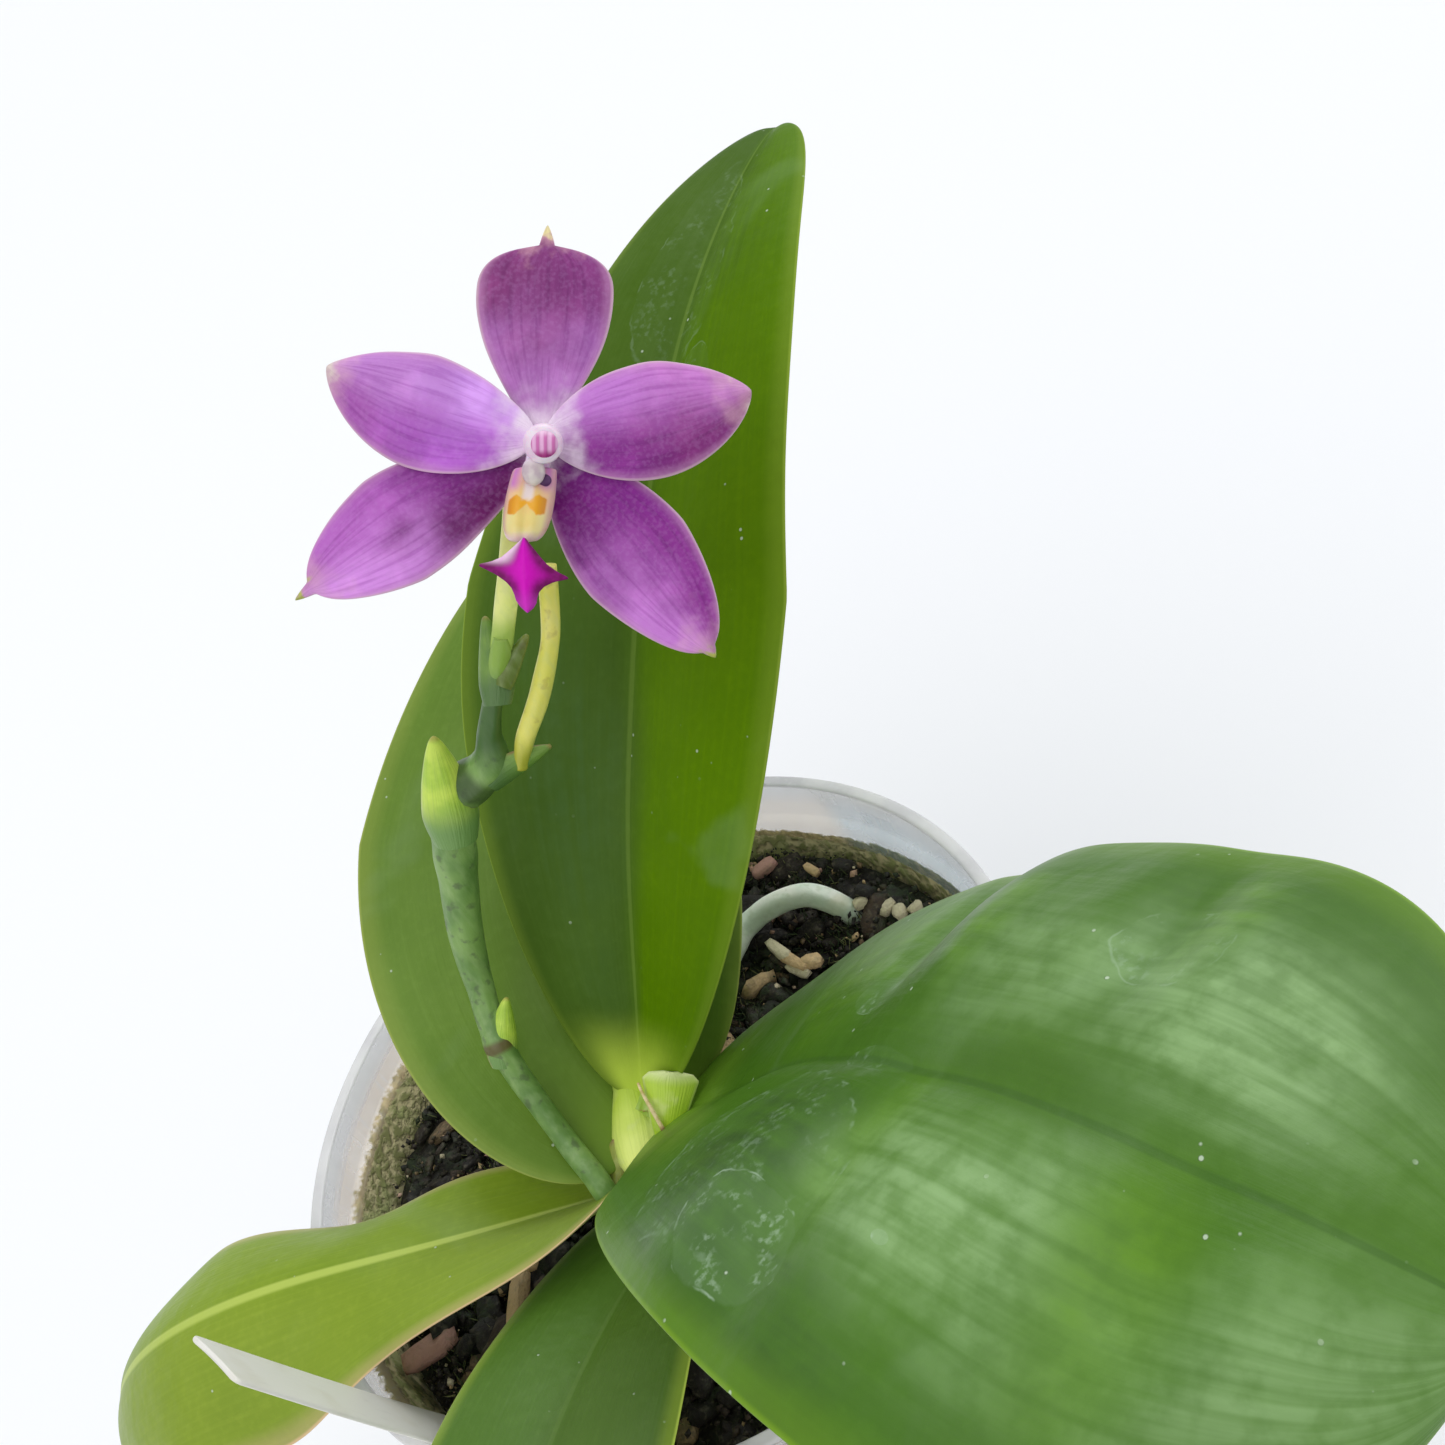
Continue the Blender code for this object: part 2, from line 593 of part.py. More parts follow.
# The tepals in the flower's frame: x to its right, y up, z outwards
TEPALS = {
    "dorsal_sepal": dict(
        root=(0.0, 0.4, -0.6), length=24.8, heading=(88, 88, 89), pitch=(8, 3, -8),
        half_width=7.7, root_share=0.1, widest=0.74, tip_power=3.2, rise_power=1.1,
        fold=(0.1, -0.06, -0.1), droop=(0.0, 0.0, 0.0), point=0.1, point_share=0.09,
    ),
    "petal_left": dict(
        root=(-0.8, 0.8, 0.7), length=25.2, heading=(175, 161, 149), pitch=(12, 2, -12),
        half_width=6.6, root_share=0.12, widest=0.52, tip_power=1.7, rise_power=0.65, blunt=0.72,
        fold=(0.1, -0.06, -0.1), droop=(0.0, 0.06, 0.1),
    ),
    "petal_right": dict(
        root=(0.8, 0.8, 0.7), length=24.1, heading=(5, 12, 22), pitch=(12, 2, -12),
        half_width=6.7, root_share=0.12, widest=0.5, tip_power=1.8, rise_power=0.65, blunt=0.7,
        fold=(0.1, -0.06, -0.1), droop=(0.0, 0.06, 0.1),
    ),
    "lateral_sepal_left": dict(
        root=(-0.8, -0.8, -0.6), length=32.3, heading=(207, 212, 217), pitch=(6, 3, -6),
        half_width=6.4, root_share=0.14, widest=0.61, tip_power=1.15, rise_power=0.9,
        fold=(0.1, -0.04, -0.1), droop=(0.0, 0.06, 0.1), point=0.07, point_share=0.1,
        right=1.06, left=0.94,
    ),
    "lateral_sepal_right": dict(
        root=(0.75, -0.85, -0.65), length=30.5, heading=(-50, -50, -54), pitch=(6, 3, -6),
        half_width=6.9, root_share=0.14, widest=0.54, tip_power=1.3, rise_power=0.9,
        fold=(0.1, -0.04, -0.1), droop=(0.0, 0.06, 0.1), point=0.04, point_share=0.1,
    ),
}

COLUMN_ROUTE = (
    (-0.1, 0.1, -1.0, 2.1),
    (0.4, -0.4, 3.0, 1.9),
    (0.9, -1.0, 6.5, 2.1),
    (1.1, -1.2, 8.4, 2.0),
)
COLUMN_FOOT = ((0.1, -0.4, 0.8, 1.5), (-0.2, -2.6, 2.2, 1.4), (-0.4, -4.2, 3.6, 1.1))
ANTHER_CENTRE = (1.35, -1.5, 9.5)
ANTHER_RADII = (1.5, 1.55, 1.1)
ANTHER_SEGMENTS = 12
ANTHER_RINGS = 8

# The lip's side lobes: a sheet bent round a tube, through the bend on each side of its front
LIP_TOP = -3.6
LIP_BOTTOM = -11.2
LIP_HALF_WIDTH = 2.7
LIP_DEPTH = 2.8
LIP_BACK = 3.4
LIP_BEND = math.radians(100.0)
LIP_THICKNESS = 0.8
LIP_FOOT_SHARE = 0.82  # the tube's width at its ends, against its middle
LIP_ASIDE = (-0.3, -0.7)  # how far its top lies to one side, and how far its foot goes on
LIP_FORWARD = 1.6  # how far its foot stands forward of its top
NOTCH_DEPTH = 0.35
NOTCH_WIDTH = 0.3  # radians
LIP_ROWS = 8
LIP_COLUMNS = 13
LIP_BLADE = dict(
    root=(-1.2, -11.9, 8.0), length=8.2, heading=(-90, -88, -87), pitch=(4, -6, -14),
    roll=(0, 0, 0), half_width=4.4, root_share=0.1, widest=0.44, tip_power=0.7, rise_power=1.0,
    fold=(-0.6, -0.5, -0.3), droop=(0.0, 0.0, 0.0), thickness=1.5, edge_share=0.6,
)

# The plant label: its foot and its top, mm from the rim's middle
LABEL_FOOT = (-40.2, -27.4, -32.0)
LABEL_TOP = (-52.9, -35.9, 42.0)
LABEL_ACROSS = (0.45, -0.89, 0.0)
LABEL_WIDTH = 11.0
LABEL_CORNER = 0.8
LABEL_POINT = 9.0
LABEL_POINT_WIDTH = 2.0
LABEL_THICKNESS = 0.8


def make_leaves(stem_cutter):
    leaves = {}
    for name, blade in LEAVES.items():
        material = LIGHT_LEAF if name in LIGHT_LEAVES else LEAF_GREEN
        leaf = make_blade(name, blade, material, LEAF_ROWS, LEAF_COLUMNS)
        fit_to(leaf, stem_cutter)
        leaves[name] = leaf
    return leaves


def make_spike(stem_cutter):
    """The zigzag spike with its bracts fused on."""
    pieces = [make_tube("spike_core", SPIKE_ROUTE, SPIKE_GREEN, per_span=3)]
    for number, (root, tip, half_width) in enumerate(BRACTS, 1):
        reach = np.subtract(tip, root)
        length = float(np.linalg.norm(reach))
        heading = math.degrees(math.atan2(reach[1], reach[0]))
        pitch = math.degrees(math.asin(reach[2] / length))
        bract = dict(
            root=root, length=length, half_width=half_width, heading=(heading,) * 3,
            pitch=(pitch - BRACT_BEND, pitch, pitch + BRACT_BEND), **BRACT_SHAPE,
        )
        blade = make_blade(f"bract_{number}", bract, SPIKE_GREEN, BRACT_ROWS, BRACT_COLUMNS)
        mesh = evaluated_mesh(blade)
        bpy.data.objects.remove(blade, do_unlink=True)
        pieces.append(put(f"bract_{number}", mesh, SPIKE_GREEN))
    spike = fuse("flower_spike", pieces, SPIKE_GREEN)
    fit_to(spike, stem_cutter)
    return spike


def make_column():
    shaft = make_tube("column_shaft", COLUMN_ROUTE, COLUMN_WHITE, per_span=3, place=in_flower)
    foot = make_tube("column_foot", COLUMN_FOOT, COLUMN_WHITE, per_span=3, place=in_flower)
    return fuse("column", [shaft, foot], COLUMN_WHITE)


def make_anther(column_cutter):
    """The small cap that closes the column's end."""
    cage = bmesh.new()
    bmesh.ops.create_uvsphere(
        cage, u_segments=ANTHER_SEGMENTS, v_segments=ANTHER_RINGS, radius=1.0
    )
    for corner in cage.verts:
        corner.co = in_flower(np.array(corner.co) * ANTHER_RADII + ANTHER_CENTRE)
    mesh = bpy.data.meshes.new("anther_cap")
    cage.to_mesh(mesh)
    cage.free()
    anther = put("anther_cap", mesh, MAGENTA)
    fit_to(anther, column_cutter)
    return anther


def make_lip():
    """The lip: two side lobes that stand up round a tube open at the back, over a keeled lobe."""
    along = np.linspace(0.0, 1.0, LIP_ROWS)[:, None]
    angle = np.linspace(-LIP_BEND, LIP_BEND, LIP_COLUMNS)[None]
    swell = LIP_FOOT_SHARE + (1.0 - LIP_FOOT_SHARE) * np.sin(np.pi * (0.12 + 0.76 * along))
    notch = NOTCH_DEPTH * np.exp(-((angle / NOTCH_WIDTH) ** 2))
    x = LIP_HALF_WIDTH * swell * np.sin(angle) + LIP_ASIDE[0] + LIP_ASIDE[1] * along
    y = LIP_TOP + (LIP_BOTTOM - LIP_TOP) * along
    z = LIP_BACK + LIP_DEPTH * swell * np.cos(angle) + LIP_FORWARD * along - notch
    grid = in_flower(np.stack(np.broadcast_arrays(x, y, z), -1))
    shell = put("lip_side_lobes", mesh_from_grid("lip_side_lobes", grid), LIP_CREAM)
    solidify = shell.modifiers.new("thickness", "SOLIDIFY")
    solidify.thickness = LIP_THICKNESS * MM
    solidify.offset = 0.0
    make_blade("lip_middle_lobe", LIP_BLADE, MAGENTA, 8, 6, place=in_flower)


def make_tepals(column_cutter, stalk_cutter):
    for name, blade in TEPALS.items():
        blade = dict(
            roll=(0, 0, 0), thickness=TEPAL_THICKNESS, edge_share=TEPAL_EDGE_SHARE, **blade
        )
        tepal = make_blade(name, blade, LILAC, TEPAL_ROWS, TEPAL_COLUMNS, place=in_flower)
        fit_to(tepal, column_cutter, stalk_cutter)


def make_label():
    """A plain strip with its top corners cut off and its foot in the bark."""
    foot, top = np.array(LABEL_FOOT), np.array(LABEL_TOP)
    length = float(np.linalg.norm(top - foot))
    half, point, corner = LABEL_WIDTH / 2, LABEL_POINT_WIDTH / 2, LABEL_CORNER
    corners = [(-half, LABEL_POINT), (-point, 0.0), (point, 0.0), (half, LABEL_POINT)]
    corners += [(half, length - corner), (half - corner, length)]
    corners += [(corner - half, length), (-half, length - corner)]
    along = (top - foot) / length
    across = LABEL_ACROSS - along * (along @ LABEL_ACROSS)
    across /= np.linalg.norm(across)
    mesh = bpy.data.meshes.new("plant_label")
    points = [above_rim(foot + across * x + along * y) for x, y in corners]
    mesh.from_pydata(points, [], [range(len(points))])
    label = put("plant_label", mesh, LABEL_WHITE)
    solidify = label.modifiers.new("thickness", "SOLIDIFY")
    solidify.thickness = LABEL_THICKNESS * MM
    solidify.offset = 0.0
    return label


def smooth_round_pieces():
    for piece in ORCHID.objects:
        if piece.name != "bark_mix":
            piece.data.shade_smooth()
            piece.data.set_sharp_from_angle(angle=SHARP_EDGE)


def make_orchid():
    make_pot()
    mix = make_mix()
    stem = make_tube("stem", STEM_ROUTE, STEM_GREEN, per_span=3, roundness=3)
    stem_cutter = grown(stem)
    leaves = make_leaves(stem_cutter)
    spike = make_spike(stem_cutter)
    spike_cutter = grown(spike)
    fit_to(leaves["leaf_broad"], spike_cutter)
    fit_to(leaves["leaf_near"], grown(leaves["leaf_broad"]))
    column = make_column()
    column_cutter = grown(column)
    flower_stalk = make_tube("flower_stalk", FLOWER_STALK, PEDICEL_GREEN, per_span=3)
    fit_to(flower_stalk, spike_cutter, column_cutter)
    spent_stalk = make_tube("spent_stalk", SPENT_STALK, SPENT_YELLOW, per_span=3)
    fit_to(spent_stalk, spike_cutter)
    make_anther(column_cutter)
    make_lip()
    make_tepals(column_cutter, grown(flower_stalk))
    cut(mix, stem_cutter)
    for name, route in ROOTS.items():
        root = make_tube(name, route, ROOT_SILVER, per_span=4)
        cut(root, stem_cutter)
        cut(mix, grown(root))
    cut(mix, grown(make_label()))
    smooth_round_pieces()


make_orchid()
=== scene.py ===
# %% [markdown]
# # A potted moth orchid
#
# A moth orchid has a few thick leaves on a very short stem, and a thin stalk with its flower.
# The solid model of the plant is already made. This lesson loads it, keeps its size and
# places, and puts a finely shaped and coloured piece in the place of each plain solid.
# Every shape is worked out with numpy as whole arrays: a surface is a function of two
# numbers, such as how far along a leaf a point is and how far across.

import math
from functools import partial

import bpy
import numpy as np
from mathutils import Matrix


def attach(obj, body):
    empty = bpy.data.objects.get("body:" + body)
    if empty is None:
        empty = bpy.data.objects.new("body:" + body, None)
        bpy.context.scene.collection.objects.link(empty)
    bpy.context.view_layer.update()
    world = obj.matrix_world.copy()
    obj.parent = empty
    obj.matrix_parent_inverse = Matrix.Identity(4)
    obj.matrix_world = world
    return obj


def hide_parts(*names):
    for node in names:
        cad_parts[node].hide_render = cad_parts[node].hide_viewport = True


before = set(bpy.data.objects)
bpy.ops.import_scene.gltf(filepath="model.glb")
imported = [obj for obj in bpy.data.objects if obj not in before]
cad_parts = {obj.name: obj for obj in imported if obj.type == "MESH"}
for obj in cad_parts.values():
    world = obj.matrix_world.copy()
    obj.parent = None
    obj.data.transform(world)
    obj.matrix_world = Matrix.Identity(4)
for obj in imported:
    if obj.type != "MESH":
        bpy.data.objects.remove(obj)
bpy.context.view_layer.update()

# %% [markdown]
# ## Where things are
#
# Sizes are written in millimetres from the middle of the pot's rim, because the whole plant
# stands above and around that point. The origin of the model is the middle of the pot's base.

# %% The pot's main sizes
MM = 0.001
RIM_HEIGHT = 105.0
RIM_RADIUS = 60.0
RIM_LIP = 1.0
COLLAR_RADIUS = RIM_RADIUS - RIM_LIP
COLLAR_HEIGHT = 9.0
COLLAR_STEP = 1.4
BASE_RADIUS = 44.0
WALL = 1.2
FLOOR = 1.6
MIX_TOP = -14.0


def above_rim(points):
    """Metres from the pot's base, for millimetres from the middle of its rim."""
    return (np.asarray(points, float) + (0.0, 0.0, RIM_HEIGHT)) * MM


def wall_radius(height):
    """The pot's outer radius: it grows evenly from the base to the foot of the collar."""
    share = height / (RIM_HEIGHT - COLLAR_HEIGHT)
    return BASE_RADIUS + (COLLAR_RADIUS - COLLAR_STEP - BASE_RADIUS) * share


# %% [markdown]
# ## The camera
#
# The picture looks down at the plant and is turned a little, so that the flower stands
# upright in it. A camera's place is a matrix whose columns are its own right, up and
# backward directions. They are worked out from the two angles, which is easier to check
# than three typed rotations.

# %% Camera
PICTURE_SIDE = 1445.0  # pixels
FOCAL_LENGTH = 1700.0  # pixels
SENSOR = 36.0
LOOKS_DOWN = math.radians(40.0)
TURNED = math.radians(32.53)
EYE = np.array([38.7, -170.8, 195.9])

out = np.array([0.0, -math.cos(LOOKS_DOWN), math.sin(LOOKS_DOWN)])
level_up = np.array([0.0, math.sin(LOOKS_DOWN), math.cos(LOOKS_DOWN)])
level_right = np.array([1.0, 0.0, 0.0])
right = level_right * math.cos(TURNED) - level_up * math.sin(TURNED)
up = level_right * math.sin(TURNED) + level_up * math.cos(TURNED)

camera_data = bpy.data.cameras.new("camera")
camera_data.sensor_width = SENSOR
camera_data.lens = FOCAL_LENGTH / PICTURE_SIDE * SENSOR
camera_data.clip_start = 0.01
camera = bpy.data.objects.new("camera", camera_data)
bpy.context.scene.collection.objects.link(camera)
eye = above_rim(EYE)
placed = np.eye(4)
placed[:3, :4] = np.stack([right, up, out, eye], axis=1)
camera.matrix_world = Matrix(placed)
bpy.context.scene.camera = camera
print("lens", round(camera_data.lens, 2), "mm, eye", tuple(eye.round(4)))


def off_middle(pixel_x, pixel_y):
    """How far a pixel lies right of and above the picture's middle, as a vector in pixels."""
    half = PICTURE_SIDE / 2
    return right * (pixel_x - half) - up * (pixel_y - half)


def seen_at(pixel_x, pixel_y, height):
    """The point at a height, mm from the rim, that a pixel of the picture looks at."""
    ray = off_middle(pixel_x, pixel_y) - out * FOCAL_LENGTH
    return EYE + ray * (height - EYE[2]) / ray[2]


def level_with(pixel_x, pixel_y, point, nearer=0.0):
    """The point that a pixel looks at, as far away as another point, or some mm nearer."""
    distance = (EYE - np.asarray(point, float)) @ out - nearer
    return EYE + off_middle(pixel_x, pixel_y) * distance / FOCAL_LENGTH - out * distance


# %% [markdown]
# ## Light and floor
#
# The photograph has soft daylight from all around with a brighter side. A pale world lights
# everything evenly, and three suns with very wide discs, like a window, a pale wall and a
# weaker glow from the side, give the leaves their soft shine. A sun lights the whole floor
# alike, which a lamp close by would not. The Standard view keeps the colours as mixed.

# %% Light and floor
bpy.context.scene.view_settings.view_transform = "Standard"


def display(red, green, blue):
    """A colour as a screen shows it, 0 to 255, turned into the linear light that shaders use."""
    shares = np.array([red, green, blue]) / 255.0
    linear = np.where(shares <= 0.04045, shares / 12.92, ((shares + 0.055) / 1.055) ** 2.4)
    return (*linear.tolist(), 1.0)


world = bpy.data.worlds.new("daylight")
world.use_nodes = True
world.node_tree.nodes["Background"].inputs["Color"].default_value = display(246, 248, 252)
world.node_tree.nodes["Background"].inputs["Strength"].default_value = 0.56
bpy.context.scene.world = world


def wide_sun(name, comes_from, disc, strength, colour):
    """A sun that shines from a direction. The disc is how wide it looks, in degrees."""
    data = bpy.data.lights.new(name, "SUN")
    data.angle = math.radians(disc)
    data.energy = strength
    data.color = colour
    lamp = bpy.data.objects.new(name, data)
    bpy.context.scene.collection.objects.link(lamp)
    back = np.array(comes_from) / np.linalg.norm(comes_from)
    across = np.cross((0.0, 0.0, 1.0), back)
    across /= np.linalg.norm(across)
    matrix = np.eye(4)
    matrix[:3, :4] = np.stack([across, np.cross(back, across), back, back], axis=1)
    lamp.matrix_world = Matrix(matrix)


wide_sun("window", (0.4, 0.55, 0.75), 45.0, 1.0, (0.95, 0.98, 1.0))
wide_sun("pale_wall", (-0.35, -0.5, 0.8), 70.0, 1.1, (1.0, 0.99, 0.97))
wide_sun("side_glow", (0.9, 0.2, 0.45), 30.0, 0.5, (1.0, 1.0, 1.0))

FLOOR_RADIUS = 3.0
FLOOR_SIDES = 96
turn = np.linspace(0.0, 2 * np.pi, FLOOR_SIDES, endpoint=False)
rim = np.stack([np.cos(turn), np.sin(turn), np.zeros_like(turn)], -1) * FLOOR_RADIUS
floor_mesh = bpy.data.meshes.new("floor")
floor_mesh.from_pydata(rim.tolist(), [], [range(FLOOR_SIDES)])
floor = bpy.data.objects.new("floor", floor_mesh)
bpy.context.scene.collection.objects.link(floor)
pale = bpy.data.materials.new("pale_floor")
pale.use_nodes = True
pale.node_tree.nodes["Principled BSDF"].inputs["Base Color"].default_value = display(243, 244, 246)
pale.node_tree.nodes["Principled BSDF"].inputs["Roughness"].default_value = 0.9
floor_mesh.materials.append(pale)

# %% [markdown]
# ## From rings of points to a closed piece
#
# A leaf, a stalk and a petal can all be made as a row of rings: neighbouring rings are
# joined by four-sided faces, and the first and last ring are closed with a fan of triangles.
# Each point also keeps a "look": three numbers, such as its place along and across the leaf,
# which a material reads so that veins and edges follow the leaf wherever it bends.

# %% Shapes and pieces
def full_turn(count):
    """Angles spread evenly round a ring, as one row."""
    return np.linspace(0.0, 2 * np.pi, count, endpoint=False)[None]


def eased(count):
    """Numbers from 0 to 1 that lie closer together at both ends, as one column."""
    return (0.5 - 0.5 * np.cos(np.pi * np.linspace(0.0, 1.0, count)))[:, None]


def together(*parts):
    """Points or looks from their separate numbers, each an array or a single value."""
    return np.stack(np.broadcast_arrays(*parts), -1)


def unit(vectors):
    """Vectors brought to a length of 1."""
    return vectors / np.linalg.norm(vectors, axis=-1, keepdims=True)


def towards(heading, pitch):
    """Unit directions at a heading round the upright and a pitch above the level."""
    return together(np.cos(heading) * np.cos(pitch), np.sin(heading) * np.cos(pitch), np.sin(pitch))


def about_axis(radius, angle, height):
    """Points at a radius and an angle round the pot's axis, and at a height."""
    return together(radius * np.cos(angle), radius * np.sin(angle), height)


def closed_rings(rings, look):
    """Points, faces and look of a closed shape over rings (row, point in the ring, xyz)."""
    rows, count = rings.shape[:2]
    points = np.concatenate([rings.reshape(-1, 3), rings[:1].mean(1), rings[-1:].mean(1)])
    looks = np.concatenate([look.reshape(-1, 3), look[:1].mean(1), look[-1:].mean(1)])
    number = np.arange(rows * count).reshape(rows, count)
    after = np.roll(number, -1, axis=1)
    sides = np.stack([number[:-1], after[:-1], after[1:], number[1:]], -1).reshape(-1, 4)
    foot = np.stack([after[0], number[0], np.full(count, rows * count)], -1)
    head = np.stack([number[-1], after[-1], np.full(count, rows * count + 1)], -1)
    triangles = np.concatenate([sides[:, [0, 1, 2]], sides[:, [0, 2, 3]], foot, head])
    a, b, c = (points[triangles[:, corner]] for corner in range(3))
    if np.einsum("ij,ij->i", a, np.cross(b, c)).sum() < 0:
        sides, foot, head = sides[:, ::-1], foot[:, ::-1], head[:, ::-1]
    return points, sides.tolist() + foot.tolist() + head.tolist(), looks


def make_piece(name, shapes, material, replaced=None):
    """One object from one or more shapes, riding on the root body."""
    start, points, faces, looks = 0, [], [], []
    for shape_points, shape_faces, shape_looks in shapes:
        points.append(shape_points)
        looks.append(shape_looks)
        faces += [[corner + start for corner in face] for face in shape_faces]
        start += len(shape_points)
    mesh = bpy.data.meshes.new(name)
    mesh.from_pydata(np.concatenate(points).tolist(), [], faces)
    mesh.shade_smooth()
    attribute = mesh.attributes.new("look", "FLOAT_VECTOR", "POINT")
    attribute.data.foreach_set("vector", np.concatenate(looks).astype(np.float32).ravel())
    mesh.materials.append(material)
    piece = bpy.data.objects.new(name, mesh)
    bpy.context.scene.collection.objects.link(piece)
    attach(piece, "root")
    if replaced:
        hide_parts(replaced)
    print(name, len(mesh.vertices), "points", len(mesh.polygons), "faces")
    return piece


# %% [markdown]
# ## The shape of a blade
#
# Leaves, petals and bracts share one shape. The midrib is walked step by step: its heading
# and its pitch are given at the root, the middle and the tip, and a quadratic passes through
# them. Across the midrib the halves fold up like a V, droop towards the edges, and wave. A
# flat sheet with a Solidify modifier would do for thin leaves, but these leaves are thick
# with round edges, so each cross-section is a closed ring: out along the upper face and back
# along the lower one.

# %% Blades
def through(keys, s):
    """The quadratic that passes through three values, at the root, the middle and the tip."""
    root, middle, tip = keys
    return root * (1 - s) * (1 - 2 * s) + middle * 4 * s * (1 - s) + tip * s * (2 * s - 1)


def outline(s, blade):
    """Half width at s: a sine rise from the root, a fall to the tip, and a fine point.

    The fall is (1 - past^tip_power)^blunt: a blunt of 0.5 is a round tip, and 1 a sharp one.
    """
    if "widths" in blade:
        return np.interp(s, *np.array(blade["widths"]).T)
    body_end = 1.0 - blade.get("point", 0.0)
    along = np.clip(s / body_end, 0.0, 1.0)
    widest = blade["widest"]
    rise = np.sin(np.pi / 2 * np.clip(along / widest, 0.0, 1.0)) ** blade["rise_power"]
    rise = blade["root_share"] + (1.0 - blade["root_share"]) * rise
    past = np.clip((along - widest) / (1.0 - widest), 0.0, 1.0)
    fall = (1.0 - past ** blade["tip_power"]) ** blade.get("blunt", 0.5)
    share = np.where(along < widest, rise, fall)
    if blade.get("point"):
        spine = blade["point_share"] * np.clip((1.0 - s) / blade["point"], 0.0, 1.0) ** 0.7
        share = (share**4 + spine**4) ** 0.25
    return blade["half_width"] * share


def blade_frame(blade, s):
    """Midrib points and the side and up directions at s."""
    fine = np.linspace(0.0, 1.0, 401)

    def forward_and_side(at):
        heading = np.radians(through(blade["heading"], at))
        pitch = np.radians(through(blade["pitch"], at))
        return towards(heading, pitch), together(np.sin(heading), -np.cos(heading), 0.0)

    forward, _ = forward_and_side(fine)
    steps = (forward[1:] + forward[:-1]) / 2 / (len(fine) - 1)
    walk = np.concatenate([np.zeros((1, 3)), np.cumsum(steps, axis=0)]) * blade["length"]
    midrib = np.stack([np.interp(s, fine, walk[:, axis]) for axis in range(3)], -1)
    forward, side = forward_and_side(s)
    above = np.cross(side, forward)
    roll = np.radians(through(blade["roll"], s))[:, None]
    turned = side * np.cos(roll) + above * np.sin(roll)
    return midrib + blade["root"], turned, above * np.cos(roll) - side * np.sin(roll)


def unevenness(along, across, size, seed):
    """Gentle swells about a size apart: the sum of a few sine waves that run all ways."""
    chance = np.random.default_rng(seed)
    total = np.zeros(np.broadcast(along, across).shape)
    for angle, phase in zip(chance.uniform(0, np.pi, 7), chance.uniform(0, 2 * np.pi, 7)):
        distance = along * math.cos(angle) + across * math.sin(angle)
        total += np.sin(2 * np.pi * distance / (size * chance.uniform(0.7, 1.5)) + phase)
    return total / 7


def blade_shape(blade, rows, around, place=above_rim):
    """A closed blade. s runs along the midrib, v = cos(u) across, and u goes round the ring.

    Lift at v is width x (fold |v| - droop |v|^2.2), plus the wave of the edge and the named
    swells, each a soft round hill. A blade with a curl is bent across like a gutter, through
    that angle on each side, and one with a skew has one half further along than the other.
    The two faces lie half a thickness to either side.
    """
    s = eased(rows) * 0.9995
    u = full_turn(around)
    v = np.cos(u)
    away = np.abs(v)
    middle, side, above = blade_frame(blade, s[:, 0])
    width = outline(s, blade)
    lateral = width * v * np.where(v < 0, blade.get("left", 1.0), blade.get("right", 1.0))
    bend = math.radians(blade.get("curl", 0.001))
    lift = width * (through(blade["fold"], s) * away - through(blade["droop"], s) * away**2.2)
    phase = blade.get("waves", 1.5) * s + blade.get("phase", 0.0) + 0.13 * np.sign(v)
    lift = lift + blade.get("wave", 0.0) * away**2 * np.sin(2 * np.pi * phase) * np.sin(np.pi * s)
    for at_s, at_v, spread_s, spread_v, height in blade.get("swells", ()):
        lift = lift + height * np.exp(-(((s - at_s) / spread_s) ** 2) - ((v - at_v) / spread_v) ** 2)
    size, height, seed = blade.get("uneven", (30.0, 0.0, 1))
    lift = lift + height * unevenness(s * blade["length"], lateral, size, seed) * np.sin(np.pi * s) ** 0.5
    edge = blade.get("edge_share", 0.5)
    half = blade.get("thickness", 1.9) / 2 * (edge + (1 - edge) * (1 - v**2))
    half = half * np.sqrt(1 - away**14) * np.sqrt(1 - s**60)
    upper = np.sin(u) > 0
    groove = blade.get("groove", 0.0) * np.exp(-((lateral / 1.6) ** 2))
    keel = blade.get("keel", 0.0) * np.exp(-((lateral / 2.2) ** 2)) * (1 - s) ** 0.5
    face = np.where(upper, half - groove, -half - keel)
    lean = bend * v + np.zeros_like(s)
    reach = lateral * np.sin(lean) / np.where(np.abs(lean) < 1e-9, 1.0, lean)
    sunk = np.abs(lateral) * (1 - np.cos(lean)) / np.maximum(np.abs(lean), 1e-9)
    ahead = np.cross(above, side) * blade.get("skew", 0.0)
    rings = middle[:, None] + side[:, None] * (reach - face * np.sin(lean))[..., None]
    rings = rings + ahead[:, None] * lateral[..., None]
    rings = rings + above[:, None] * (lift + sunk + face * np.cos(lean))[..., None]
    look = together(s, v, np.where(upper, 1.0, 0.0))
    return closed_rings(place(rings), look)


# %% [markdown]
# ## Mixing a material
#
# A material is a small tree of nodes. The class below adds one node with each call, so that
# a finish reads like a recipe. Patterns that follow a blade read the "look" of its points,
# and patterns that only have a size, such as dust, read the object's own coordinates.

# %% The recipe helper
def light(colour):
    """Linear light for a screen colour of three numbers. A socket or a tint stays as it is."""
    return display(*colour) if isinstance(colour, tuple) and len(colour) == 3 else colour


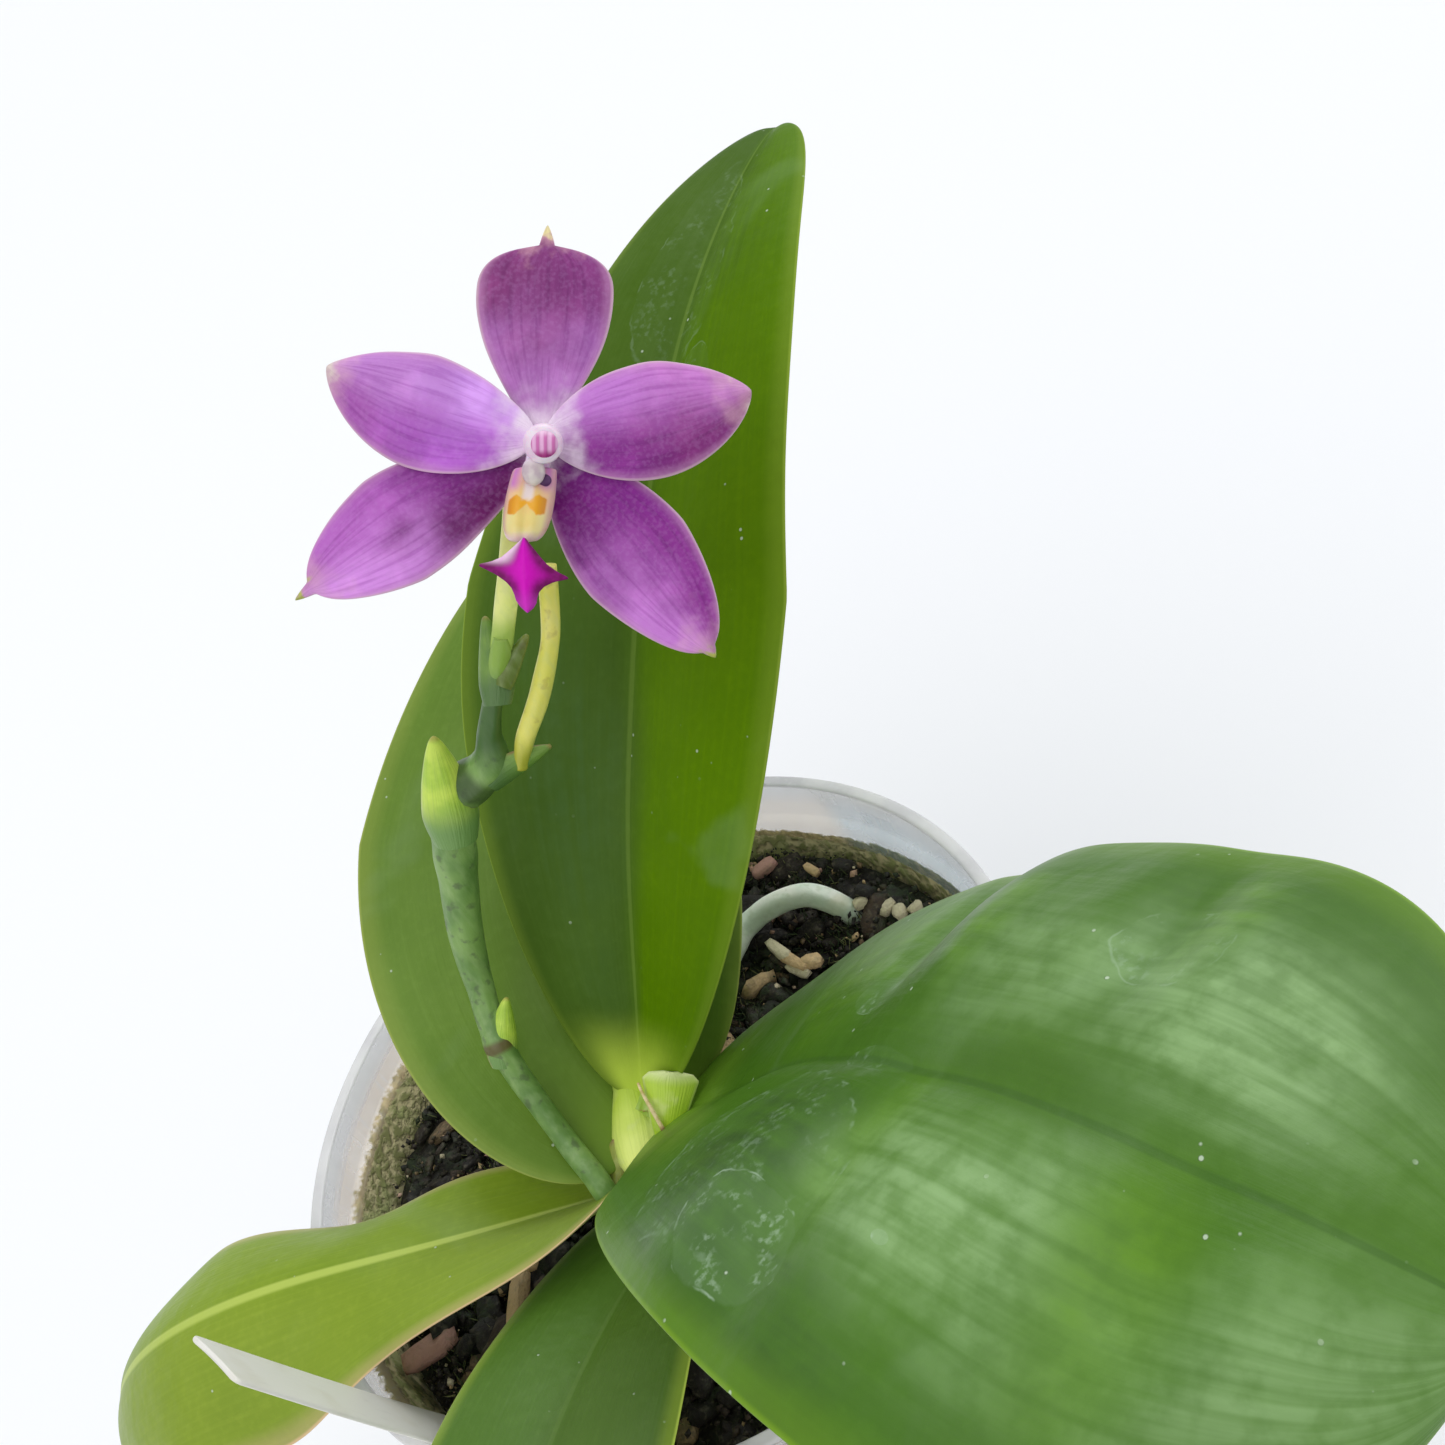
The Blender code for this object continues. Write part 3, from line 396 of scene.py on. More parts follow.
class Finish:
    """A material being mixed. Its body is the colour as mixed so far.

    Methods that lay something over the body change it. The others return a socket.
    """

    def __init__(self, name):
        self.material = bpy.data.materials.new(name)
        self.material.use_nodes = True
        self.tree = self.material.node_tree
        self.shader = self.tree.nodes["Principled BSDF"]
        self.place = self.add("ShaderNodeTexCoord").outputs["Object"]
        look = self.add("ShaderNodeAttribute", attribute_name="look").outputs["Vector"]
        self.look = look
        parts = self.add("ShaderNodeSeparateXYZ", {"Vector": look})
        self.along, self.across, self.upper = parts.outputs[:3]

    def add(self, kind, sockets=None, **settings):
        made = self.tree.nodes.new(kind)
        for key, value in settings.items():
            setattr(made, key, value)
        for key, value in (sockets or {}).items():
            if isinstance(value, bpy.types.NodeSocket):
                self.tree.links.new(value, made.inputs[key])
            else:
                made.inputs[key].default_value = value
        return made

    def noise(self, size, detail=2.0, stretch=None, twist=0.0):
        """Soft blotches, 0 to 1, about a size in millimetres across."""
        where = self.place
        if stretch:
            where = self.add("ShaderNodeMapping", {"Vector": where, "Scale": stretch}).outputs[0]
        sockets = {"Vector": where, "Scale": 1 / (size * MM), "Detail": detail, "Distortion": twist}
        return self.add("ShaderNodeTexNoise", sockets).outputs[0]

    def cells(self, size):
        """Distance from the nearest of many scattered points, in cells of a size in mm."""
        sockets = {"Vector": self.place, "Scale": 1 / (size * MM)}
        return self.add("ShaderNodeTexVoronoi", sockets).outputs["Distance"]

    def smooth(self, value, low, high, to_low=0.0, to_high=1.0):
        """A soft step from one value to another while the input goes from low to high."""
        sockets = {0: value, 1: low, 2: high, 3: to_low, 4: to_high}
        return self.add("ShaderNodeMapRange", sockets, interpolation_type="SMOOTHSTEP").outputs[0]

    def blotches(self, size, detail, low, high, amount=1.0):
        """Noise of a size that goes softly from nothing to an amount."""
        return self.smooth(self.noise(size, detail), low, high, 0.0, amount)

    def maths(self, operation, first, second=0.0, third=0.0):
        sockets = {0: first, 1: second, 2: third}
        return self.add("ShaderNodeMath", sockets, operation=operation).outputs[0]

    def line(self, value, factor, start):
        """A value times a factor, plus a start."""
        return self.maths("MULTIPLY_ADD", value, factor, start)

    def times(self, first, second):
        return self.maths("MULTIPLY", first, second)

    def plus(self, first, second):
        return self.maths("ADD", first, second)

    def minus(self, first, second):
        return self.maths("SUBTRACT", first, second)

    def larger(self, first, second):
        return self.maths("MAXIMUM", first, second)

    def size_of(self, value):
        """A value without its sign."""
        return self.maths("ABSOLUTE", value)

    def mix(self, factor, first, second, way="MIX"):
        """One colour laid over another."""
        sockets = {0: factor, 6: light(first), 7: light(second)}
        return self.add("ShaderNodeMix", sockets, data_type="RGBA", blend_type=way).outputs[2]

    def lay(self, colour, amount):
        """Lays a colour over the body, thick or thin."""
        self.body = self.mix(amount, self.body, colour)

    def lay_below(self, colour, amount):
        """Lays a colour over the lower face alone."""
        self.body = self.mix(self.upper, self.mix(amount, self.body, colour), self.body)

    def tint(self, tint, amount):
        """Multiplies the body's red, green and blue, fully or in part."""
        self.lay(self.mix(1.0, self.body, tint, "MULTIPLY"), amount)

    def over(self, colour, value, low, high, amount=1.0):
        """Lays a colour over the body as a value goes from low to high."""
        self.lay(colour, self.smooth(value, low, high, 0.0, amount))

    def two_tone(self, first, second, size, detail):
        """A body of two colours in even blotches."""
        self.body = self.mix(self.blotches(size, detail, 0.35, 0.65), first, second)

    def mottle(self, colour, size, detail, low, high, amount=1.0):
        """Lays a colour over the body in blotches."""
        self.lay(colour, self.blotches(size, detail, low, high, amount))

    def ramp(self, value, *stops):
        """A colour that changes through stops of (position, colour)."""
        made = self.add("ShaderNodeValToRGB", {0: value})
        elements = made.color_ramp.elements
        for position, colour in stops[2:]:
            elements.new(position)
        for element, (position, colour) in zip(elements, sorted(stops, key=lambda stop: stop[0])):
            element.position = position
            element.color = light(colour)
        return made.outputs[0]

    def streaks(self, count, length=3.0):
        """Uneven lines that run along a blade: noise drawn out along it, 0 to 1."""
        drawn = self.add("ShaderNodeMapping", {"Vector": self.look, "Scale": (length, count, 1.0)})
        sockets = {"Vector": drawn.outputs[0], "Scale": 1.0, "Detail": 3.0}
        return self.add("ShaderNodeTexNoise", sockets).outputs[0]

    def away_from(self, along, across, reach_along, reach_across, ragged=0.5, size=6.0):
        """Distance from a place on a blade, 1 at its reach, with a ragged outline."""
        first = self.line(self.along, 1 / reach_along, -along / reach_along)
        second = self.line(self.across, 1 / reach_across, -across / reach_across)
        square = self.line(first, first, self.times(second, second))
        stir = self.line(self.noise(size, 4.0), ragged, -ragged / 2)
        return self.plus(self.maths("SQRT", square), stir)

    def relief(self, *layers):
        """Bump from (height socket, depth in mm) layers, one over the other."""
        normal = None
        for height, depth in layers:
            sockets = {"Height": height, "Distance": depth * MM, "Strength": 1.0}
            made = self.add("ShaderNodeBump", sockets)
            if normal:
                self.tree.links.new(normal, made.inputs["Normal"])
            normal = made.outputs[0]
        self.tree.links.new(normal, self.shader.inputs["Normal"])

    def finish(self, roughness, **plain):
        """Links the body and the roughness, and sets plain values on the shader itself."""
        self.tree.links.new(self.body, self.shader.inputs["Base Color"])
        if isinstance(roughness, bpy.types.NodeSocket):
            self.tree.links.new(roughness, self.shader.inputs["Roughness"])
        else:
            self.shader.inputs["Roughness"].default_value = roughness
        for key, value in plain.items():
            self.shader.inputs[key.replace("_", " ")].default_value = value
        return self.material


# %% [markdown]
# ## The finish of a leaf
#
# A leaf has a waxy shine, a thin pale edge, a paler base, and faint veins that run its whole
# length. The edge's bright green is partly its own and partly painted light that shines
# through the thin margin. One half of the tall leaf is painted duller and bluer, a painted
# reflection of the sky, and the other yellower, painted light shining through the leaf. Soft
# patches of painted sheen and painted shade lie on the swells and facets of the tall and near
# leaves. On top lie specks of dust and the whitish film that drops of hard water leave. All
# leaves share this recipe with their own colours, because a change to the recipe should reach
# every leaf.

# %% Leaf finish
DEEPER = (0.62, 0.72, 0.4, 1.0)
LIGHTER = (1.3, 1.22, 1.6, 1.0)
DRIED_WATER = (186, 210, 184)
DUST_GREY = (214, 230, 206)


def leaf_body(leaf, left, right, turn_at, deep, cloud, streak, fine):
    """Lays the two halves' colours, darker and lighter in soft blotches and long streaks."""
    blotch = leaf.noise(34.0, 2.0)
    side = leaf.line(blotch, 0.3, leaf.minus(leaf.across, 0.15))
    leaf.body = leaf.mix(leaf.smooth(side, turn_at - 0.16, turn_at + 0.16), left, right)
    layers = (
        (leaf.smooth(blotch, 0.35, 0.68, 0.0, deep), DEEPER),
        (leaf.smooth(cloud, 0.4, 0.75, 0.0, 0.25), DEEPER),
        (leaf.smooth(streak, 0.4, 0.75, 0.0, 0.3), LIGHTER),
        (leaf.smooth(fine, 0.45, 0.75, 0.0, 0.3), LIGHTER),
    )
    for amount, tint in layers:
        leaf.tint(tint, amount)


def leaf_finish(
    name, left, right, edge, base, rib, shine=0.3, deep=0.4, turn_at=0.0, glow=0.17, sheen_and_shade_patches=(), films=()
):
    """left and right are the halves' colours, and rib is (colour, amount, half width). On the tall
    leaf the halves' colours are painted light: a bluish sky reflection on one half and light
    shining through the other. The near leaf's dark rib is painted shade in its groove.

    Each painted patch is a soft patch of painted sheen or painted shade, and each film a place
    where water dried: (along, across, its two reaches, amount), with the colour last for a
    painted patch.
    """
    leaf = Finish(name)
    cloud = leaf.noise(13.0, 3.0)
    fine = leaf.noise(1.3, 4.0)
    streak = leaf.streaks(34.0)
    leaf_body(leaf, left, right, turn_at, deep, cloud, streak, fine)
    # The mottle breaks up the painted sheen and shade patches laid next.
    mottle = leaf.smooth(leaf.noise(3.0, 4.0), 0.3, 0.62, 0.55, 1.0)
    mottle = leaf.times(mottle, leaf.smooth(leaf.streaks(14.0, 4.0), 0.3, 0.62, 0.35, 1.0))
    for along, across, reach_along, reach_across, amount, colour in sheen_and_shade_patches:
        off = leaf.away_from(along, across, reach_along, reach_across, 1.2, 16.0)
        soft = leaf.times(leaf.smooth(off, 1.3, 0.1, 0.0, amount), mottle)
        leaf.lay(colour, soft)
    away = leaf.size_of(leaf.across)
    # On the near leaf the dark rib colour is painted shade in the midrib's groove; on the others it is a
    # pale midrib.
    leaf.lay(rib[0], leaf.smooth(away, rib[2] * 0.4, rib[2], rib[1], 0.0))
    near_root = leaf.smooth(leaf.along, glow, 0.0)
    near_root = leaf.times(near_root, leaf.smooth(away, 0.9, 0.35, 0.3, 1.0))
    leaf.lay(base, near_root)
    # The edge colour is partly the margin's own paler tone and partly painted light shining through the
    # thin margin.
    leaf.over(edge, away, 0.84, 0.98, 0.35)
    leaf.over(edge, away, 0.98, 0.997)
    leaf.lay_below((150, 170, 100), 0.45)

    powder = leaf.blotches(0.9, 5.0, 0.48, 0.68)
    crust = leaf.smooth(leaf.noise(5.0, 4.0, twist=0.8), 0.46, 0.62)
    grain = leaf.line(leaf.times(powder, crust), 0.75, 0.12)
    dried = leaf.smooth(leaf.noise(26.0, 3.0, twist=0.5), 0.6, 0.72, 0.0, 0.06)
    for along, across, reach_along, reach_across, amount in films:
        off = leaf.away_from(along, across, reach_along, reach_across, 0.55, 7.0)
        inside = leaf.smooth(off, 1.0, 0.9, 0.0, amount)
        rim_line = leaf.size_of(leaf.minus(off, 0.96))
        rim_line = leaf.times(leaf.smooth(rim_line, 0.035, 0.0, 0.0, amount), crust)
        patch = leaf.larger(leaf.times(inside, grain), rim_line)
        dried = leaf.larger(dried, patch)
    dried = leaf.times(dried, leaf.upper)
    leaf.lay(DRIED_WATER, dried)
    spots = leaf.smooth(leaf.cells(3.4), 0.085, 0.05)
    kept = leaf.blotches(10.0, 2.0, 0.5, 0.62)
    dust = leaf.times(leaf.times(spots, kept), leaf.upper)
    leaf.lay(DUST_GREY, leaf.times(dust, 0.6))

    worn = leaf.line(cloud, 0.2, 0.3)
    worn = leaf.line(dried, 0.35, worn)
    worn = leaf.line(dust, 0.3, worn)
    leaf.relief((streak, 0.05), (cloud, 0.8), (fine, 0.05), (dust, 0.1))
    return leaf.finish(worn, Specular_IOR_Level=shine)


# Colours of the near leaf's painted patches: painted shade on the facet turned from the light, painted
# sheen where the sky is reflected, and a brighter painted lit green where light falls without a
# reflection.
PAINTED_SHADE_GREEN = (44, 76, 24)
PAINTED_SHEEN = (146, 182, 120)
PAINTED_LIT_GREEN = (96, 142, 24)
LEAF_FINISHES = {
    # The tall leaf: its duller left half is a painted sky reflection, its yellower right half painted
    # light shining through, and its patches painted sheen and shade.
    "leaf_tall": leaf_finish(
        "waxy_tall_leaf", (76, 106, 34), (88, 126, 0), (132, 158, 52),
        (196, 220, 80), ((130, 158, 70), 0.3, 0.022), shine=0.05, deep=0.35, turn_at=0.04,
        glow=0.09,
        sheen_and_shade_patches=(
            (0.85, -0.1, 0.25, 0.9, 0.8, (66, 98, 10)), (0.3, -0.35, 0.2, 0.4, 0.4, (84, 118, 68)),
            (0.6, -0.6, 0.14, 0.3, 0.4, (70, 100, 24)),
        ),
        films=((0.8, -0.1, 0.12, 0.4, 0.13), (0.66, 0.25, 0.05, 0.15, 0.14)),
    ),
    "leaf_broad": leaf_finish(
        "waxy_broad_leaf", (102, 134, 46), (92, 124, 40), (150, 166, 76),
        (116, 146, 50), ((128, 152, 80), 0.25, 0.025), shine=0.2, deep=0.3,
    ),
    # The near leaf: its darker patches are painted shade, its whitish ones painted sheen, and its bright
    # green ones painted light on its swells and facets.
    "leaf_near": leaf_finish(
        "waxy_near_leaf", (72, 114, 26), (72, 116, 22), (112, 152, 20),
        (110, 150, 40), ((50, 88, 26), 0.4, 0.018), shine=0.3, deep=0.5,
        sheen_and_shade_patches=(
            (0.5, 0.5, 0.12, 0.55, 0.9, PAINTED_SHADE_GREEN), (0.615, 0.42, 0.035, 0.45, 0.9, PAINTED_LIT_GREEN),
            (0.71, 0.4, 0.12, 0.36, 0.85, PAINTED_SHEEN), (0.825, 0.3, 0.045, 0.4, 0.8, PAINTED_LIT_GREEN),
            (0.93, 0.5, 0.09, 0.5, 0.7, PAINTED_SHEEN), (0.82, -0.4, 0.13, 0.38, 0.9, PAINTED_SHEEN),
            (0.62, -0.4, 0.1, 0.3, 0.5, PAINTED_SHEEN), (0.72, -0.05, 0.12, 0.12, 0.8, (64, 104, 24)),
            (0.56, -0.55, 0.03, 0.35, 0.8, PAINTED_LIT_GREEN), (0.76, -0.7, 0.035, 0.25, 0.7, PAINTED_LIT_GREEN),
            (0.36, -0.5, 0.14, 0.5, 0.7, PAINTED_LIT_GREEN), (0.62, 0.8, 0.12, 0.28, 0.95, (58, 96, 24)),
        ),
        films=(
            (0.5, 0.47, 0.12, 0.4, 0.2), (0.45, -0.28, 0.035, 0.09, 0.3), (0.57, 0.7, 0.06, 0.18, 0.45),
            (0.735, -0.56, 0.05, 0.16, 0.22), (0.7, 0.5, 0.007, 0.02, 1.0), (0.54, 0.0, 0.05, 0.05, 0.2),
        ),
    ),
    "leaf_left": leaf_finish(
        "waxy_left_leaf", (134, 158, 42), (130, 156, 38), (216, 186, 140),
        (130, 152, 40), ((188, 206, 96), 0.8, 0.06), shine=0.25, deep=0.2,
    ),
    "leaf_front": leaf_finish(
        "waxy_front_leaf", (80, 112, 36), (82, 118, 38), (176, 198, 76),
        (80, 110, 40), ((110, 138, 70), 0.3, 0.03), shine=0.25, deep=0.3,
    ),
}
print("leaf finishes:", len(LEAF_FINISHES))

# %% [markdown]
# ## The leaves
#
# Five leaves grow from the stem in two rows. The numbers below repeat those of the solid
# model. What is added is what a plain solid leaves out: the groove along the midrib, the
# keel below it, and the swells between the veins that catch the light.

# %% Leaves
# Lengths are in mm, and a heading, pitch or roll in degrees at the root, middle and tip
LEAVES = {
    "leaf_tall": dict(
        root=(0.4, -6.9, 7.6), length=151.0, heading=(38, 39, 42.5), pitch=(53, 37, -4),
        roll=(-9, -0.5, 3.5), half_width=28.0, root_share=0.12, widest=0.48, tip_power=1.0,
        rise_power=0.73, fold=(0.33, 0.28, 0.16), droop=(0.0, 0.1, 0.1),
        groove=0.35, keel=0.9, uneven=(34.0, 0.7, 3),
    ),
    "leaf_broad": dict(
        root=(-1.3, -8.6, 0.8), length=114.0, heading=(107, 51.6, 71.2), pitch=(46.4, 27, -5),
        roll=(-8, -14.8, -12.5), half_width=29.9, root_share=0.15, widest=0.42, tip_power=1.0,
        rise_power=0.38, fold=(0.3, 0.12, 0.05), droop=(0.0, 0.1, 0.1),
        groove=0.3, keel=0.7, uneven=(30.0, 0.4, 5),
    ),
    "leaf_near": dict(
        root=(3.0, -11.5, 3.6), length=147.0, heading=(-48, -65, -55), pitch=(35.6, 36.3, -27),
        roll=(13.5, 7.5, -8), half_width=34.9, root_share=0.2, widest=0.76, tip_power=2.4,
        rise_power=0.5, fold=(0.19, 0.21, -0.13), droop=(0.07, 0.19, 0.22),
        groove=0.25, keel=1.0, uneven=(40.0, 0.8, 8),
        swells=(
            (0.6, 0.55, 0.03, 0.4, -2.4), (0.53, 0.5, 0.045, 0.4, 1.0), (0.46, -0.65, 0.03, 0.4, -1.8),
            (0.55, -0.6, 0.045, 0.35, 1.4), (0.72, -0.6, 0.035, 0.3, -2.2), (0.8, -0.55, 0.05, 0.3, 1.3),
            (0.7, 0.45, 0.05, 0.35, 1.6), (0.83, 0.3, 0.035, 0.3, -1.8), (0.9, 0.5, 0.05, 0.4, 1.2),
        ),
    ),
    "leaf_left": dict(
        root=(-6.5, -11.5, -6.5), length=113.5, heading=(185.5, 162, 161), pitch=(29, 0, -62),
        roll=(-42, 4, 5), half_width=20.0, root_share=0.49, widest=0.76, tip_power=2.2,
        rise_power=1.0, fold=(0.5, -0.12, 0.06), droop=(-0.25, 0.21, 0.25), left=1.0,
        right=0.67, wave=2.9, waves=2.3, phase=-0.38, groove=0.25, keel=0.7, uneven=(30.0, 0.4, 2),
    ),
    "leaf_front": dict(
        root=(-4.0, -13.5, -12.0), length=108.0, heading=(-126, -121, -111), pitch=(34, 11, -33),
        roll=(0, 0, 0), half_width=17.5, root_share=0.37, widest=0.52, tip_power=2.0,
        rise_power=0.9, fold=(0.35, 0.15, 0.05), droop=(0.0, 0.12, 0.15), wave=1.0, waves=1.4,
        phase=0.3, groove=0.3, keel=0.8, uneven=(26.0, 0.4, 4),
    ),
}
LEAF_ROWS = 170
LEAF_AROUND = 128

for name, blade in LEAVES.items():
    shape = blade_shape(blade, LEAF_ROWS, LEAF_AROUND)
    make_piece("fine_" + name, [shape], LEAF_FINISHES[name], name)

# %% [markdown]
# ## Stalks and roots
#
# A stalk is a ring carried along a smooth path. A curve with a bevel would give the same
# tube, but working the rings out by hand lets the stalk swell at its joints and be a little
# uneven, as living stalks are. Each ring stands square to the path: its two directions come
# from the path's direction and one fixed direction that the path never runs along.

# %% Tubes
def smooth_path(points, per_span):
    """A Catmull-Rom curve through a few points, with its ends included."""
    points = np.asarray(points, float)
    ends = [2 * points[0] - points[1]], [2 * points[-1] - points[-2]]
    padded = np.concatenate([ends[0], points, ends[1]])
    a, b, c, d = (padded[start : len(padded) - 3 + start, None] for start in range(4))
    t = np.linspace(0.0, 1.0, per_span, endpoint=False)[None, :, None]
    cubic = 2 * b + (c - a) * t + (2 * a - 5 * b + 4 * c - d) * t**2
    cubic = 0.5 * (cubic + (3 * b - a - 3 * c + d) * t**3)
    return np.concatenate([cubic.reshape(-1, points.shape[1]), points[-1:]])


def tube_shape(route, aside, joints=(), rough=(6.0, 0.0, 1), per_span=14, around=36, place=above_rim):
    """A closed tube through (x, y, z, radius) points. A joint is (share along, reach, height).

    A point is path + radius (cos a, sin a), with a swelling at each joint. Its look is the
    distance along in mm, the cosine of a, and the share along.
    """
    path = smooth_path(route, per_span)
    centre, radius = path[:, :3], path[:, 3]
    forward = unit(np.gradient(centre, axis=0))
    first = unit(np.cross(forward, aside))
    second = np.cross(forward, first)
    steps = np.linalg.norm(np.diff(centre, axis=0), axis=1)
    distance = np.concatenate([[0.0], np.cumsum(steps)])
    share = distance / distance[-1]
    for at, reach, height in joints:
        radius = radius + height * np.exp(-(((share - at) * distance[-1] / reach) ** 2))
    angle = full_turn(around)
    size, height, seed = rough
    radius, distance = radius[:, None], distance[:, None]
    wide = radius + height * unevenness(distance, radius * 3 * np.cos(angle), size, seed)
    turned = first[:, None] * np.cos(angle)[..., None] + second[:, None] * np.sin(angle)[..., None]
    rings = centre[:, None] + turned * wide[..., None]
    look = together(distance, np.cos(angle), share[:, None])
    return closed_rings(place(rings), look)


# %% [markdown]
# ## The flower's own directions
#
# The flower faces up and forward at 40 degrees and is turned a little. Its parts are much
# easier to describe in its own directions, right, up and outward, than in the room's.

# %% The flower's frame
FLOWER_CENTRE = (38.3, 3.0, 99.7)
FLOWER_FACES = math.radians(-90.0)
FLOWER_LIFT = math.radians(40.0)
FLOWER_TURN = math.radians(32.5)

faces = np.array([math.cos(FLOWER_FACES), math.sin(FLOWER_FACES), 0.0])
flower_out = faces * math.cos(FLOWER_LIFT) + np.array([0.0, 0.0, math.sin(FLOWER_LIFT)])
flower_level = np.array([-math.sin(FLOWER_FACES), math.cos(FLOWER_FACES), 0.0])
flower_above = np.cross(flower_out, flower_level)
flower_right = flower_level * math.cos(FLOWER_TURN) - flower_above * math.sin(FLOWER_TURN)
flower_up = flower_level * math.sin(FLOWER_TURN) + flower_above * math.cos(FLOWER_TURN)
FLOWER_AXES = np.array([flower_right, flower_up, flower_out])
print("the flower faces", flower_out.round(3))


def in_flower(points):
    """Metres from the pot's base, for millimetres in the flower's own directions."""
    return above_rim(np.asarray(points, float) @ FLOWER_AXES + FLOWER_CENTRE)


# %% [markdown]
# ## The finish of the petals
#
# Each petal is lilac, white where it joins the middle, darker and purpler in streaks along
# its veins, and pale at its thin edge. Its two halves have their own tones, since each
# catches another light. The two lower sepals end in a small yellow-green point. A petal's
# skin is made of tiny domed cells, which give it a velvet sheen instead of a hard shine.

# %% Petal finish
VEIN_TINT = (0.6, 0.36, 0.62, 1.0)


def petal_finish(name, tones, tips, white=0.23):
    """tones are four colours: at the root and at the tip, each on the two sides of the midrib.

    The petal is white at its root, up to the given share of its length.
    """
    petal = Finish(name)
    stir = petal.noise(7.0, 3.0)
    across = petal.plus(petal.across, petal.line(stir, 0.9, -0.45))
    along = petal.plus(petal.along, petal.line(petal.noise(6.0, 3.0), 0.5, -0.25))
    side = petal.smooth(across, -0.6, 0.6)
    root_tone = petal.mix(side, tones[0], tones[1])
    tip_tone = petal.mix(side, tones[2], tones[3])
    petal.body = petal.mix(petal.smooth(along, 0.25, 0.75), root_tone, tip_tone)
    middle = petal.smooth(petal.along, 0.1, 0.35)
    bright = petal.blotches(4.5, 4.0, 0.46, 0.7, 0.5)
    petal.tint((1.4, 1.5, 1.35, 1.0), bright)
    lines = petal.smooth(petal.streaks(11.0, 3.0), 0.42, 0.68, 0.0, 0.5)
    petal.tint(VEIN_TINT, petal.times(lines, middle))
    petal.mottle((212, 164, 224), 0.5, 2.0, 0.4, 0.7, 0.1)
    away = petal.size_of(petal.across)
    ragged = petal.line(petal.noise(3.0, 3.0), 0.12, -0.06)
    near_edge = petal.plus(away, ragged)
    petal.over((214, 160, 204), near_edge, 0.78, 1.0, 0.4)
    petal.over((220, 190, 200), away, 0.94, 0.99, 0.6)
    reach = petal.plus(petal.along, petal.line(petal.noise(2.5, 4.0), 0.3, -0.15))
    petal.over((244, 228, 244), reach, white, 0.0, 0.95)
    for start, end, amount, colour in tips:
        petal.over(colour, reach, start, end, amount)
    petal.lay_below((206, 176, 200), 0.5)
    petal.relief((petal.streaks(9.0, 1.5), 0.12), (petal.noise(0.5, 2.0), 0.04))
    return petal.finish(0.5, Sheen_Weight=0.08, Sheen_Roughness=0.4, Specular_IOR_Level=0.18)


ROSE_TIP = (0.8, 0.98, 0.5, (226, 180, 196))
GREEN_POINT = (0.94, 0.98, 0.95, (190, 196, 92))
CREAM_TIP = (0.94, 1.02, 0.8, (230, 218, 204))
PETAL_FINISHES = {
    "dorsal_sepal": petal_finish(
        "top_sepal_skin",
        ((180, 112, 188), (182, 116, 192), (132, 56, 120), (134, 58, 126)),
        ((0.84, 0.94, 0.7, (218, 164, 180)), (0.92, 0.97, 1.0, (246, 230, 172))), white=0.3,
    ),
    "petal_left": petal_finish(
        "left_petal_skin",
        ((180, 96, 204), (210, 152, 236), (172, 92, 180), (194, 130, 208)),
        (ROSE_TIP, CREAM_TIP),
    ),
    "petal_right": petal_finish(
        "right_petal_skin",
        ((200, 126, 214), (140, 50, 146), (190, 116, 194), (130, 48, 122)),
        (ROSE_TIP, CREAM_TIP),
    ),
    "lateral_sepal_left": petal_finish(
        "left_sepal_skin",
        ((100, 14, 92), (142, 52, 148), (228, 152, 242), (186, 104, 196)),
        (ROSE_TIP, GREEN_POINT), white=0.12,
    ),
    "lateral_sepal_right": petal_finish(
        "right_sepal_skin",
        ((136, 40, 144), (116, 20, 120), (144, 54, 148), (208, 130, 220)),
        (ROSE_TIP, GREEN_POINT), white=0.14,
    ),
}
print("petal finishes:", len(PETAL_FINISHES))

# %% [markdown]
# ## The petals
#
# Three sepals and two petals make a star. They use the blade of the leaves with the
# flower's directions. The finer surface has low swells and a slightly waved edge.

# %% Petals
TEPALS = {
    "dorsal_sepal": dict(
        root=(0.0, 0.4, -0.6), length=24.8, heading=(88, 88, 89), pitch=(8, 3, -8), half_width=7.7,
        root_share=0.1, widest=0.74, tip_power=3.2, rise_power=1.1, fold=(0.1, -0.06, -0.1),
        droop=(0.0, 0.0, 0.0), point=0.1, point_share=0.12, left=1.04,
    ),
    "petal_left": dict(
        root=(-0.8, 0.8, 0.7), length=25.2, heading=(175, 161, 149), pitch=(12, 2, -12),
        half_width=6.6, root_share=0.12, widest=0.52, tip_power=1.7, rise_power=0.65, blunt=0.72,
        fold=(0.1, -0.06, -0.1), droop=(0.0, 0.06, 0.1),
    ),
    "petal_right": dict(
        root=(0.8, 0.8, 0.7), length=24.1, heading=(5, 12, 22), pitch=(12, 2, -12),
        half_width=6.7, root_share=0.12, widest=0.5, tip_power=1.8, rise_power=0.65, blunt=0.7,
        fold=(0.1, -0.06, -0.1), droop=(0.0, 0.06, 0.1),
    ),
    "lateral_sepal_left": dict(
        root=(-0.8, -0.8, -0.6), length=32.3, heading=(207, 212, 217), pitch=(6, 3, -6),
        half_width=6.4, root_share=0.14, widest=0.61, tip_power=1.25, rise_power=0.9,
        fold=(0.1, -0.04, -0.1), droop=(0.0, 0.06, 0.1), point=0.07, point_share=0.12,
        right=1.06, left=1.02,
    ),
    "lateral_sepal_right": dict(
        root=(0.7, -0.9, -0.6), length=30.5, heading=(-50, -50, -54), pitch=(6, 3, -6),
        half_width=6.9, root_share=0.14, widest=0.54, tip_power=1.3, rise_power=0.9,
        fold=(0.1, -0.04, -0.1), droop=(0.0, 0.06, 0.1), point=0.04, point_share=0.12,
    ),
}
TEPAL_ROWS = 110
TEPAL_AROUND = 96

